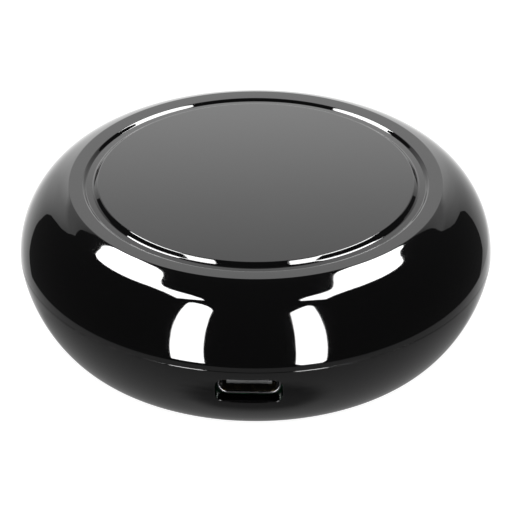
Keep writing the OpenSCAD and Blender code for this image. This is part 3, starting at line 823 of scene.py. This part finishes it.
class HUB_OT_upper_housing(bpy.types.Operator):
    """Spins the upper shell: shoulder, flat ring, groove, plateau, ceiling and rebate"""
    bl_idname = "hub.upper_housing"
    bl_label = "Upper housing"

    def execute(self, context):
        s = housing_sizes()
        in_r = BODY_R - s.shoulder_reach
        rise = RING_Z - s.seam_z + s.shoulder_cut
        in_reach = s.shoulder_reach - s.upper_wall
        in_rise = rise - s.upper_wall
        ceiling_z = RING_Z - s.groove_depth - s.ceiling_t
        lap_r = BODY_R - s.lower_wall + s.lap_t + s.lap_gap
        lap_top = s.seam_z + s.lap_h + s.lap_gap
        edge_angle = math.asin((s.seam_edge_r / rise) ** (s.shoulder_power / 2))
        ring_angle = math.asin(((RING_Z - s.seam_z) / rise) ** (s.shoulder_power / 2))
        top_angle = math.asin(((ceiling_z - s.seam_z) / in_rise) ** (s.shoulder_power / 2))
        low_angle = math.asin(((s.lap_h + s.lap_gap) / in_rise) ** (s.shoulder_power / 2))
        shoulder = curve_points(in_r, s.seam_z, s.shoulder_reach, rise, s.shoulder_power,
                                edge_angle, ring_angle, 96)
        points = (
            arc_points((BODY_R - s.seam_edge_r, s.seam_z + s.seam_edge_r), s.seam_edge_r, 270, 360, 4)
            + shoulder[1:-1]
            + self.groove_points(s, shoulder[-1])
            + [(0, POCKET_Z), (0, ceiling_z)]
            + curve_points(in_r, s.seam_z, in_reach, in_rise, s.shoulder_power,
                           top_angle, low_angle, 32)
            + [(lap_r, lap_top), (lap_r, s.seam_z)]
        )
        obj = spin_profile("upper_housing", points, s.turns)
        smooth(obj)
        finish_piece(obj, "housing", "housing_gloss", "upper_shell")
        return {"FINISHED"}

    @staticmethod
    def groove_points(s, ring_edge):
        """Points from the ring's outer edge across its lip and the groove to the adhesive's pocket."""
        groove_r = ring_edge[0] - s.ring_w
        groove_z = RING_Z - s.groove_depth
        pocket_r = PANEL_R - s.panel_rim_w
        lip_z = RING_Z - s.ring_dish
        out_a, in_a = s.groove_out_angle, s.groove_in_angle
        low_r = groove_r - s.groove_depth / math.tan(math.radians(out_a))
        plateau_low_r = PANEL_R + (PLATEAU_Z - groove_z) / math.tan(math.radians(in_a))
        lip_centre = (groove_r + s.lip_r * half_tangent(out_a), lip_z - s.lip_r)
        outer_centre = (low_r - s.groove_out_r * half_tangent(out_a), groove_z + s.groove_out_r)
        inner_centre = (plateau_low_r + s.groove_in_r * half_tangent(in_a), groove_z + s.groove_in_r)
        lip = arc_points(lip_centre, s.lip_r, 90, 90 + out_a, 10)
        outer = arc_points(outer_centre, s.groove_out_r, 270 + out_a, 270, 10)
        inner = arc_points(inner_centre, s.groove_in_r, 270, 270 - in_a, 12)
        return (
            held_flat(ring_edge, lip[0])[:-1]
            + lip + outer[:-1]
            + held_flat(outer[-1], inner[0])[:-1]
            + inner
            + [(PANEL_R, PLATEAU_Z), (pocket_r, PLATEAU_Z), (pocket_r, POCKET_Z)]
        )


def belly_profile(s):
    """Outer belly from the base's edge up to the seam's rounding, as points (r, z)."""
    base_r = BODY_R - s.belly_reach
    drop = s.seam_z - BASE_Z
    edge_angle = math.asin((s.seam_edge_r / drop) ** (s.belly_power / 2))
    belly = curve_points(base_r, s.seam_z, s.belly_reach, -drop, s.belly_power, QUARTER, edge_angle, 72)
    seam = arc_points((BODY_R - s.seam_edge_r, s.seam_z - s.seam_edge_r), s.seam_edge_r, 0, 90, 4)
    return belly[:-1] + seam


def belly_radius(s, z):
    """Radius of the belly's outer face at a height."""
    base_r = BODY_R - s.belly_reach
    drop = s.seam_z - BASE_Z
    down = min(max((s.seam_z - z) / drop, 0.0), 1.0)
    return base_r + s.belly_reach * (1 - down ** s.belly_power) ** (1 / s.belly_power)


def port_cutter(s, p):
    """Prism of the port's opening, whose mouth flares to the belly's face in a small rounding."""
    outline = round_rect(p.opening_w, p.opening_h, p.opening_corner_r)
    flare = p.opening_edge_r
    # How far each section spreads and lies behind the belly's face, per unit of the rounding
    turn = [math.radians(a) for a in (15, 35, 55, 75, 90)]
    stations = [(1.3, -0.6)] + [(1 - math.sin(a), 1 - math.cos(a)) for a in turn]
    sections = []
    for spread, depth in stations:
        section = []
        for x, z in grown(outline, flare * spread):
            radius = belly_radius(s, z + PORT_Z)
            section.append((x, -math.sqrt(radius ** 2 - x ** 2) + flare * depth, z + PORT_Z))
        sections.append(section)
    sections.insert(0, [(x, -BODY_R - CUT_OVER, z) for x, _, z in sections[0]])
    sections.append([(x, s.belly_reach - BODY_R, z + PORT_Z) for x, z in outline])
    return loft_sections("port_cutter", sections)


def cut(obj, cutter):
    """Cuts an object with another, which is then removed."""
    modifier = obj.modifiers.new("cut", "BOOLEAN")
    modifier.operation = "DIFFERENCE"
    modifier.solver = "EXACT"
    modifier.object = cutter
    apply_modifier(obj, modifier)
    bpy.data.objects.remove(cutter)


def keep_belly_normals(obj, uncut, s):
    """Gives the belly round the opening the uncut shell's normals, so that its gloss stays even."""
    group = obj.vertex_groups.new(name="belly")
    on_belly = []
    for vertex in obj.data.vertices:
        place = vertex.co
        if BASE_Z < place.z < s.seam_z - s.seam_edge_r and place.y < 0:
            if abs(math.hypot(place.x, place.y) - belly_radius(s, place.z)) < NEAR:
                on_belly.append(vertex.index)
    group.add(on_belly, 1.0, "REPLACE")
    modifier = obj.modifiers.new("normals", "DATA_TRANSFER")
    modifier.object = uncut
    modifier.use_loop_data = True
    modifier.data_types_loops = {"CUSTOM_NORMAL"}
    modifier.loop_mapping = "POLYINTERP_NEAREST"
    modifier.vertex_group = group.name
    apply_modifier(obj, modifier)
    obj.vertex_groups.clear()
    bpy.data.objects.remove(uncut)


class HUB_OT_lower_housing(bpy.types.Operator):
    """Spins the lower shell and cuts the port's opening through its front"""
    bl_idname = "hub.lower_housing"
    bl_label = "Lower housing"

    def execute(self, context):
        s = housing_sizes()
        base_r = BODY_R - s.belly_reach
        floor_z = BASE_Z + s.floor_t
        recess_r = FOOT_R + s.foot_gap
        in_r = BODY_R - s.lower_wall
        in_drop = s.seam_z - floor_z
        lap_top = s.seam_z + s.lap_h
        edge = s.seam_edge_r
        points = (
            belly_profile(s)
            + [(in_r + s.lap_t, s.seam_z), (in_r + s.lap_t, lap_top), (in_r, lap_top)]
            + curve_points(base_r, s.seam_z, in_r - base_r, -in_drop, s.belly_power, 0, QUARTER, 32)
            + [(s.button_hole_r, floor_z), (s.button_hole_r, BASE_Z + edge)]
            + arc_points((s.button_hole_r + edge, BASE_Z + edge), edge, 180, 270, 4)[1:]
            + arc_points((s.island_r - edge, BASE_Z + edge), edge, 270, 360, 4)
            + [(s.island_r, FOOT_TOP_Z), (recess_r, FOOT_TOP_Z), (recess_r, BASE_Z)]
        )
        obj = spin_profile("lower_housing", points, s.turns)
        smooth(obj)
        uncut = obj.copy()
        uncut.data = obj.data.copy()
        context.scene.collection.objects.link(uncut)
        cut(obj, port_cutter(s, port_sizes()))
        smooth(obj)
        keep_belly_normals(obj, uncut, s)
        finish_piece(obj, "housing", "housing_gloss", "lower_shell")
        return {"FINISHED"}


class HUB_OT_panel(bpy.types.Operator):
    """Spins the flat top panel with its bevel and its rounded upper edge"""
    bl_idname = "hub.panel"
    bl_label = "Top panel"

    def execute(self, context):
        s = housing_sizes()
        edge = s.panel_edge_r
        slope = s.groove_in_angle
        top_r = PANEL_R - (PANEL_TOP_Z - PLATEAU_Z) / math.tan(math.radians(slope))
        centre = (top_r - edge * half_tangent(slope), PANEL_TOP_Z - edge)
        rounding = arc_points(centre, edge, 90 - slope, 90, 8)
        points = (
            [(0, PLATEAU_Z), (PANEL_R, PLATEAU_Z)]
            + rounding[:-1]
            + held_flat(rounding[-1], (0, PANEL_TOP_Z))[:-2]
            + [(0, PANEL_TOP_Z)]
        )
        obj = spin_profile("panel_disc", points, s.turns)
        smooth(obj)
        finish_piece(obj, "housing", "panel_gloss", "top_panel")
        return {"FINISHED"}


class HUB_OT_foot(bpy.types.Operator):
    """Spins the soft ring foot with rounded lower edges"""
    bl_idname = "hub.foot"
    bl_label = "Ring foot"

    def execute(self, context):
        s = housing_sizes()
        inner_r = s.island_r + s.foot_gap
        edge = s.foot_edge_r
        points = (
            arc_points((inner_r + edge, edge), edge, 180, 270)
            + arc_points((FOOT_R - edge, edge), edge, 270, 360)
            + [(FOOT_R, TAPE_LOW_Z), (inner_r, TAPE_LOW_Z)]
        )
        obj = spin_profile("ring_foot", points, s.turns // 2)
        smooth(obj)
        finish_piece(obj, "housing", "foot_rubber", "rubber_foot")
        return {"FINISHED"}


class HUB_OT_button(bpy.types.Operator):
    """Spins the reset button: dished face, flange and stem"""
    bl_idname = "hub.button"
    bl_label = "Reset button"

    def execute(self, context):
        s = housing_sizes()
        button_r = s.button_hole_r - s.button_gap
        flange_z = BASE_Z + s.floor_t + s.flange_play
        flange_top = flange_z + s.flange_t
        edge = s.button_edge_r
        dish_r = button_r - s.button_rim_w
        steps = 8
        face = [(dish_r * i / steps, BUTTON_LOW_Z + s.button_dish * math.cos(QUARTER * i / steps) ** 2)
                for i in range(steps + 1)]
        points = (
            face
            + arc_points((button_r - edge, BUTTON_LOW_Z + edge), edge, 270, 360)
            + [(button_r, flange_z), (FLANGE_R, flange_z), (FLANGE_R, flange_top)]
            + [(s.stem_r, flange_top), (s.stem_r, BUTTON_TOP_Z), (0, BUTTON_TOP_Z)]
        )
        obj = spin_profile("reset_key", points, s.turns // 4)
        smooth(obj)
        finish_piece(obj, "reset_button", "button_plastic", "reset_button")
        return {"FINISHED"}


class HUB_OT_receptacle(bpy.types.Operator):
    """Lofts the receptacle's drawn shell, with a rounded mouth"""
    bl_idname = "hub.receptacle"
    bl_label = "Receptacle shell"

    def execute(self, context):
        p = port_sizes()
        edge = p.sheet_edge_r
        outer = round_rect(PORT_W, PORT_H, PORT_H / 2, 14)
        turn = [math.radians(a) for a in (0, 30, 60, 90)]
        stations = [(PORT_BACK_Y, 0.0)]
        stations += [(PORT_FACE_Y + edge * (1 - math.sin(a)), edge * (1 - math.cos(a))) for a in turn]
        stations += [(PORT_FACE_Y + edge * (1 - math.sin(a)), p.sheet_t - edge * (1 - math.cos(a)))
                     for a in reversed(turn)]
        stations += [(PORT_BACK_Y, p.sheet_t)]
        sections = [[(x, y, z + PORT_Z) for x, z in grown(outer, -inset)] for y, inset in stations]
        sections.append(sections[0])
        obj = loft_sections("receptacle_shell", sections, close_ends=False)
        activate(obj)
        bpy.ops.object.mode_set(mode="EDIT")
        weld()
        bpy.ops.object.mode_set(mode="OBJECT")
        smooth(obj, 40)
        finish_piece(obj, "housing", "port_steel", "usb_shell")
        return {"FINISHED"}


def add_block(name, low, high, bevel, segments=2):
    """A block between two corners, with bevelled edges."""
    deselect()
    bpy.ops.mesh.primitive_cube_add(size=1)
    obj = bpy.context.object
    obj.name = name
    for vertex in obj.data.vertices:
        vertex.co = [hi if side > 0 else lo for side, lo, hi in zip(vertex.co, low, high)]
    bpy.ops.object.mode_set(mode="EDIT")
    bpy.ops.mesh.select_all(action="SELECT")
    bpy.ops.mesh.bevel(offset=bevel, segments=segments)
    bpy.ops.object.mode_set(mode="OBJECT")
    return obj


def join(objects, name):
    """Joins objects into the first one, under a new name."""
    deselect()
    for obj in objects:
        obj.select_set(True)
    bpy.context.view_layer.objects.active = objects[0]
    bpy.ops.object.join()
    objects[0].name = name
    return objects[0]


class HUB_OT_tongue(bpy.types.Operator):
    """Models the receptacle's tongue and the block that carries it"""
    bl_idname = "hub.tongue"
    bl_label = "Receptacle tongue"

    def execute(self, context):
        p = port_sizes()
        half_w = p.tongue_w / 2
        half_t = p.tongue_t / 2
        root_y = PORT_BACK_Y - 0.2 * MM
        tongue = add_block(
            "tongue", (-half_w, TONGUE_TIP_Y, PORT_Z - half_t), (half_w, root_y, PORT_Z + half_t),
            p.tongue_edge, 3)
        outline = round_rect(PORT_W - 2 * p.sheet_t, PORT_H - 2 * p.sheet_t, PORT_H / 2 - p.sheet_t, 10)
        ends = (PORT_BACK_Y - p.tongue_back_t, PORT_BACK_Y)
        back = loft_sections("back", [[(x, y, z + PORT_Z) for x, z in outline] for y in ends])
        obj = join([tongue, back], "receptacle_tongue")
        smooth(obj)
        finish_piece(obj, "housing", "port_plastic", "usb_tongue")
        return {"FINISHED"}


class HUB_OT_contacts(bpy.types.Operator):
    """Models one gold contact and copies it along both sides of the tongue"""
    bl_idname = "hub.contacts"
    bl_label = "Receptacle contacts"

    def execute(self, context):
        p = port_sizes()
        start_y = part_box("usb_contacts")[0].y
        half_w = p.contact_w / 2
        end_y = start_y + p.contact_l
        first = add_block("contact", (-half_w, start_y, 0), (half_w, end_y, p.contact_t), p.contact_edge)
        copies = []
        for side in (-1, 1):
            for i in range(p.contact_count):
                copy = first.copy()
                copy.data = first.data.copy()
                context.scene.collection.objects.link(copy)
                x = (i - (p.contact_count - 1) / 2) * p.contact_pitch
                z = PORT_Z + side * p.tongue_t / 2 - (p.contact_t if side < 0 else 0)
                for vertex in copy.data.vertices:
                    vertex.co += Vector((x, 0, z))
                copies.append(copy)
        bpy.data.objects.remove(first)
        obj = join(copies, "receptacle_contacts")
        smooth(obj)
        finish_piece(obj, "housing", "contact_gold", "usb_contacts")
        return {"FINISHED"}


# Studio


# Overhead softboxes: each row is y, then the x of both sides, per unit of height
LEFT_OVERHEAD = (
    (0.96, -0.34, -0.31), (0.86, -0.45, -0.29), (0.75, -0.575, -0.285), (0.65, -0.68, -0.281),
    (0.58, -0.79, -0.287), (0.5, -0.945, -0.3), (0.42, -1.015, -0.318), (0.35, -1.033, -0.338),
    (0.25, -1.015, -0.373), (0.15, -0.974, -0.419), (0.05, -0.916, -0.472), (-0.05, -0.839, -0.518),
    (-0.12, -0.772, -0.536), (-0.18, -0.714, -0.522), (-0.24, -0.676, -0.478), (-0.32, -0.638, -0.405),
    (-0.42, -0.613, -0.352), (-0.48, -0.6, -0.35),
)
RIGHT_OVERHEAD = (
    (0.96, 0.34, 0.27), (0.86, 0.405, 0.2), (0.75, 0.451, 0.186), (0.65, 0.522, 0.188),
    (0.58, 0.584, 0.198), (0.5, 0.682, 0.213), (0.42, 0.79, 0.234), (0.35, 0.846, 0.255),
    (0.25, 0.867, 0.288), (0.15, 0.852, 0.327), (0.05, 0.817, 0.368), (-0.05, 0.754, 0.407),
    (-0.12, 0.713, 0.428), (-0.18, 0.663, 0.426), (-0.24, 0.623, 0.398), (-0.34, 0.573, 0.33),
    (-0.42, 0.553, 0.308), (-0.46, 0.548, 0.33),
)
# Front strips: each row is an elevation, then the azimuths of both sides, in degrees from +Y
LEFT_STRIP = (
    (-21.5, -158.1, -142.1), (4, -158.1, -142.3), (26, -157.8, -141.5), (42, -156.9, -140),
    (46, -156.4, -139.3), (49, -154.3, -138.8), (51, -151.5, -139), (52.5, -147, -141),
)
RIGHT_STRIP = (
    (-23, 147, 157), (-21, 145.5, 160), (4, 145.7, 160.3), (26, 145.2, 159.9), (42, 143.9, 159),
    (44, 143.6, 158.6), (46, 143.3, 156.6), (48, 142.9, 153.6), (50, 143.6, 149.6), (51, 145, 147),
)
# Backdrop: each column is a share of the row's reach, from -1 at the left to 1 at the right, and its
# brightness. Each row is an elevation, its reach to the left and to the right in degrees, its
# brightness, and the power that the columns' brightness takes there.
BACKDROP_COLUMNS = (
    (-1, 0.26), (-0.85, 0.36), (-0.6, 0.5), (-0.45, 0.68), (-0.3, 0.88), (-0.12, 1), (0.05, 1),
    (0.2, 0.85), (0.35, 0.66), (0.5, 0.48), (0.7, 0.33), (1, 0.2),
)
BACKDROP_ROWS = (
    (-38, 66, 62, 1.2, 1), (-30, 55, 51, 1.6, 0.8), (-24, 47, 43.5, 1.8, 0.9),
    (-18, 43.5, 39, 1.9, 0.8), (-6, 43, 39.5, 2.2, 0.9), (2, 43.5, 39, 2.5, 1), (8, 43, 38, 2.8, 1),
    (14, 44, 38.5, 3.0, 1), (20, 47.5, 44.5, 2.8, 1), (24, 50.5, 46, 2.7, 1), (28.8, 52, 46, 2.53, 1),
    (30.3, 51.5, 45.5, 1.48, 0.5), (31.6, 51, 45, 0.82, 0.05), (34.5, 50, 40.5, 0.75, 0),
    (38.5, 35, 29, 0.6, 0), (41, 27, 20, 0.3, 0),
)
CARD_DISTANCE = 30.0
OVERHEAD_HEIGHT = 20.0
# Ground: its depth, the radii of its rings per unit of depth, and its steps round
GROUND_DEPTH = 9.0
GROUND_RADII = (0.0, 0.15, 0.25, 0.35, 0.45, 0.55, 0.7, 1.1, 1.25, 1.45, 1.7, 2.2)
GROUND_STEPS = 48
# Shaded oval of the ground, per unit of depth: half its width and length, its place in front, the
# shares of its size between which its edge fades, and its brightness
SHADE_W = 0.34
SHADE_L = 0.36
SHADE_AHEAD = 0.26
SHADE_EDGE = (0.85, 1.15)
SHADE_LEVEL = 0.38
# Lit part of the ground behind the object: the radii between which its light rises, its strength,
# and its spread to each side
LIT_RADII = (1.25, 1.65)
LIT_LEVEL = 3.2
LIT_SPREAD = math.radians(38)
# Lamps: name, place, size and power
LAMPS = (
    ("lamp_top", (0, 0.2, 1.6), 1.6, 14.0), ("lamp_left", (-1.2, -1.1, 1.0), 1.0, 5.0),
    ("lamp_right", (1.2, -1.1, 1.0), 1.0, 5.0), ("lamp_below", (0, -0.2, -1.4), 1.4, 14.0),
)
FLOOR_SIZE = 6.0
FLOOR_GREY = (0.4, 0.4, 0.4)


def ramp(value, low, high):
    """Rises evenly from 0 to 1 between a low and a high value."""
    return min(max((value - low) / (high - low), 0.0), 1.0)


def direction(azimuth, elevation):
    """Unit vector of a direction in degrees: azimuth 0 is +Y, and positive to the right."""
    a, e = math.radians(azimuth), math.radians(elevation)
    return Vector((math.sin(a) * math.cos(e), math.cos(a) * math.cos(e), math.sin(e)))


def card_material(name, strength):
    """A glowing card, whose brightness follows the mesh's glow attribute."""
    made = bpy.data.materials.new(name)
    made.use_nodes = True
    nodes = made.node_tree.nodes
    nodes.clear()
    glow = nodes.new("ShaderNodeAttribute")
    glow.attribute_name = "glow"
    level = nodes.new("ShaderNodeMath")
    level.operation = "MULTIPLY"
    level.inputs[1].default_value = strength
    emission = nodes.new("ShaderNodeEmission")
    output = nodes.new("ShaderNodeOutputMaterial")
    links = made.node_tree.links
    links.new(glow.outputs["Fac"], level.inputs[0])
    links.new(level.outputs["Value"], emission.inputs["Strength"])
    links.new(emission.outputs["Emission"], output.inputs["Surface"])
    return made


def add_card(name, rows, glows, strength):
    """A card of quads through rows of points, which only a gloss surface sees."""
    wide = len(rows[0])
    points = [point for row in rows for point in row]
    faces = [(k * wide + i, k * wide + i + 1, (k + 1) * wide + i + 1, (k + 1) * wide + i)
             for k in range(len(rows) - 1) for i in range(wide - 1)]
    mesh = bpy.data.meshes.new(name)
    mesh.from_pydata(points, [], faces)
    glow = mesh.attributes.new("glow", "FLOAT", "POINT")
    glow.data.foreach_set("value", [value for row in glows for value in row])
    obj = bpy.data.objects.new(name, mesh)
    bpy.context.scene.collection.objects.link(obj)
    mesh.materials.append(card_material(name, strength))
    obj.visible_camera = False
    obj.visible_diffuse = False
    obj.visible_shadow = False


class HUB_OT_softboxes(bpy.types.Operator):
    """Sets up the softboxes, the backdrop and the ground that the gloss surfaces reflect"""
    bl_idname = "hub.softboxes"
    bl_label = "Softboxes"

    def execute(self, context):
        level = studio()
        for name, outline in (("overhead_left", LEFT_OVERHEAD), ("overhead_right", RIGHT_OVERHEAD)):
            rows = [[Vector((x, y, 1)) * OVERHEAD_HEIGHT for x in sides] for y, *sides in outline]
            add_card(name, rows, [[1.0, 1.0] for _ in rows], level.softbox_level)
        for name, outline in (("strip_left", LEFT_STRIP), ("strip_right", RIGHT_STRIP)):
            rows = [[direction(azimuth, elevation) * CARD_DISTANCE for azimuth in sides]
                    for elevation, *sides in outline]
            add_card(name, rows, [[1.0, 1.0] for _ in rows], level.softbox_level)
        self.add_backdrop(level)
        self.add_ground(level)
        return {"FINISHED"}

    def add_backdrop(self, level):
        """A curved card behind the object, brightest in its middle and dim towards its sides and top."""
        rows = []
        glows = []
        for elevation, left, right, glow, power in BACKDROP_ROWS:
            rows.append([direction(share * (right if share > 0 else left), elevation) * CARD_DISTANCE
                         for share, _ in BACKDROP_COLUMNS])
            glows.append([glow * column ** power for _, column in BACKDROP_COLUMNS])
        add_card("backdrop", rows, glows, level.backdrop_level)

    def add_ground(self, level):
        """A round card far below the table, made of rings."""
        angles = [FULL_TURN * i / GROUND_STEPS for i in range(GROUND_STEPS + 1)]
        rows = []
        glows = []
        for radius in GROUND_RADII:
            reach = radius * GROUND_DEPTH
            rows.append([(reach * math.sin(a), reach * math.cos(a), -GROUND_DEPTH) for a in angles])
            glows.append([self.ground_glow(radius, a) for a in angles])
        add_card("ground", rows, glows, level.ground_level)

    @staticmethod
    def ground_glow(radius, angle):
        """Brightness of the ground: shaded under the front of the object, and lit far behind it."""
        across = radius * math.sin(angle) / SHADE_W
        along = (radius * math.cos(angle) + SHADE_AHEAD) / SHADE_L
        clear = ramp(math.hypot(across, along), *SHADE_EDGE)
        far = ramp(radius, *LIT_RADII)
        behind = math.exp(-(math.remainder(angle, FULL_TURN) / LIT_SPREAD) ** 2)
        return SHADE_LEVEL + (1 - SHADE_LEVEL) * clear + LIT_LEVEL * far * behind


class HUB_OT_studio(bpy.types.Operator):
    """Adds the pale floor, the world, the lamps for matt surfaces and the camera"""
    bl_idname = "hub.studio"
    bl_label = "Floor, lamps and camera"

    def execute(self, context):
        scene = context.scene
        scene.view_settings.view_transform = "Standard"
        self.add_floor()
        self.light_world(scene)
        self.add_lamps()
        self.add_camera(scene)
        return {"FINISHED"}

    def add_floor(self):
        """A pale floor, white to the camera, that keeps a soft shadow and is clear from below."""
        deselect()
        bpy.ops.mesh.primitive_plane_add(size=FLOOR_SIZE)
        floor = bpy.context.object
        floor.name = "floor"
        made = bpy.data.materials.new("floor")
        made.use_nodes = True
        nodes = made.node_tree.nodes
        links = made.node_tree.links
        nodes.clear()
        diffuse = nodes.new("ShaderNodeBsdfDiffuse")
        diffuse.inputs["Color"].default_value = (*FLOOR_GREY, 1)
        glow = nodes.new("ShaderNodeEmission")
        rays = nodes.new("ShaderNodeLightPath")
        white = nodes.new("ShaderNodeMath")
        white.operation = "MULTIPLY"
        white.inputs[1].default_value = studio().floor_level
        both = nodes.new("ShaderNodeAddShader")
        clear = nodes.new("ShaderNodeBsdfTransparent")
        side = nodes.new("ShaderNodeNewGeometry")
        mix = nodes.new("ShaderNodeMixShader")
        output = nodes.new("ShaderNodeOutputMaterial")
        links.new(rays.outputs["Is Camera Ray"], white.inputs[0])
        links.new(white.outputs["Value"], glow.inputs["Strength"])
        links.new(diffuse.outputs["BSDF"], both.inputs[0])
        links.new(glow.outputs["Emission"], both.inputs[1])
        links.new(side.outputs["Backfacing"], mix.inputs["Fac"])
        links.new(both.outputs["Shader"], mix.inputs[1])
        links.new(clear.outputs["BSDF"], mix.inputs[2])
        links.new(mix.outputs["Shader"], output.inputs["Surface"])
        floor.data.materials.append(made)
        floor.visible_glossy = False
        floor.visible_shadow = False

    def light_world(self, scene):
        """White to the camera, a dark studio in gloss surfaces and a soft fill on matt ones."""
        world = scene.world or bpy.data.worlds.new("studio")
        scene.world = world
        world.use_nodes = True
        nodes = world.node_tree.nodes
        links = world.node_tree.links
        nodes.clear()
        rays = nodes.new("ShaderNodeLightPath")
        background = nodes.new("ShaderNodeBackground")
        output = nodes.new("ShaderNodeOutputWorld")
        for_gloss = nodes.new("ShaderNodeMix")
        for_gloss.inputs["A"].default_value = studio().fill_level
        for_gloss.inputs["B"].default_value = studio().dark_level
        for_camera = nodes.new("ShaderNodeMix")
        for_camera.inputs["B"].default_value = 1.0
        links.new(rays.outputs["Is Glossy Ray"], for_gloss.inputs["Factor"])
        links.new(for_gloss.outputs["Result"], for_camera.inputs["A"])
        links.new(rays.outputs["Is Camera Ray"], for_camera.inputs["Factor"])
        links.new(for_camera.outputs["Result"], background.inputs["Strength"])
        links.new(background.outputs["Background"], output.inputs["Surface"])

    def add_lamps(self):
        """Soft lamps that only matt surfaces see, one below the floor for the underside."""
        for name, place, size, power in LAMPS:
            data = bpy.data.lights.new(name, "AREA")
            data.shape = "DISK"
            data.size = size
            data.energy = power * studio().lamp_level
            lamp = bpy.data.objects.new(name, data)
            lamp.location = place
            lamp.rotation_euler = (-Vector(place)).to_track_quat("-Z", "Y").to_euler()
            lamp.visible_camera = False
            lamp.visible_glossy = False
            bpy.context.scene.collection.objects.link(lamp)

    def add_camera(self, scene):
        """A long lens from the front and above, aimed near the middle of the seam."""
        level = studio()
        a, e = level.camera_azimuth, level.camera_elevation
        back = Vector((math.sin(a) * math.cos(e), -math.cos(a) * math.cos(e), math.sin(e)))
        right = Vector((math.cos(a), math.sin(a), 0))
        up = back.cross(right)
        aim = Vector((0, 0, housing_sizes().seam_z)) - up * level.aim_drop + right * level.aim_right
        data = bpy.data.cameras.new("camera")
        data.lens = level.camera_lens
        data.sensor_width = 36
        data.clip_start = 0.01
        camera = bpy.data.objects.new("camera", data)
        camera.location = aim + back * level.camera_distance
        camera.rotation_euler = back.to_track_quat("Z", "Y").to_euler()
        scene.collection.objects.link(camera)
        scene.camera = camera


class HUB_PT_panel(bpy.types.Panel):
    """Lists the hub's pieces and their sizes in the sidebar"""
    bl_idname = "HUB_PT_panel"
    bl_label = "Infrared Hub"
    bl_space_type = "VIEW_3D"
    bl_region_type = "UI"
    bl_category = "Infrared Hub"

    def draw(self, context):
        for group in (housing_sizes(), port_sizes(), finishes(), studio()):
            box = self.layout.box()
            for name in group.__annotations__:
                box.prop(group, name)
        for operator in PIECE_OPERATORS:
            self.layout.operator(operator.bl_idname)


SETTINGS = (
    ("hub_housing", HousingSizes), ("hub_port", PortSizes), ("hub_finishes", Finishes),
    ("hub_studio", StudioLevels),
)
PIECE_OPERATORS = (
    HUB_OT_materials, HUB_OT_upper_housing, HUB_OT_lower_housing, HUB_OT_panel, HUB_OT_foot,
    HUB_OT_button, HUB_OT_receptacle, HUB_OT_tongue, HUB_OT_contacts, HUB_OT_softboxes, HUB_OT_studio,
)


def register():
    for name, group in SETTINGS:
        bpy.utils.register_class(group)
        setattr(bpy.types.Scene, name, PointerProperty(type=group))
    for operator in PIECE_OPERATORS:
        bpy.utils.register_class(operator)
    bpy.utils.register_class(HUB_PT_panel)


def unregister():
    bpy.utils.unregister_class(HUB_PT_panel)
    for operator in reversed(PIECE_OPERATORS):
        bpy.utils.unregister_class(operator)
    for name, group in reversed(SETTINGS):
        delattr(bpy.types.Scene, name)
        bpy.utils.unregister_class(group)


def main():
    register()
    bpy.ops.hub.materials()
    bpy.ops.hub.upper_housing()
    bpy.ops.hub.lower_housing()
    bpy.ops.hub.panel()
    bpy.ops.hub.foot()
    bpy.ops.hub.button()
    bpy.ops.hub.receptacle()
    bpy.ops.hub.tongue()
    bpy.ops.hub.contacts()
    bpy.ops.hub.softboxes()
    bpy.ops.hub.studio()


if __name__ == "__main__":
    main()
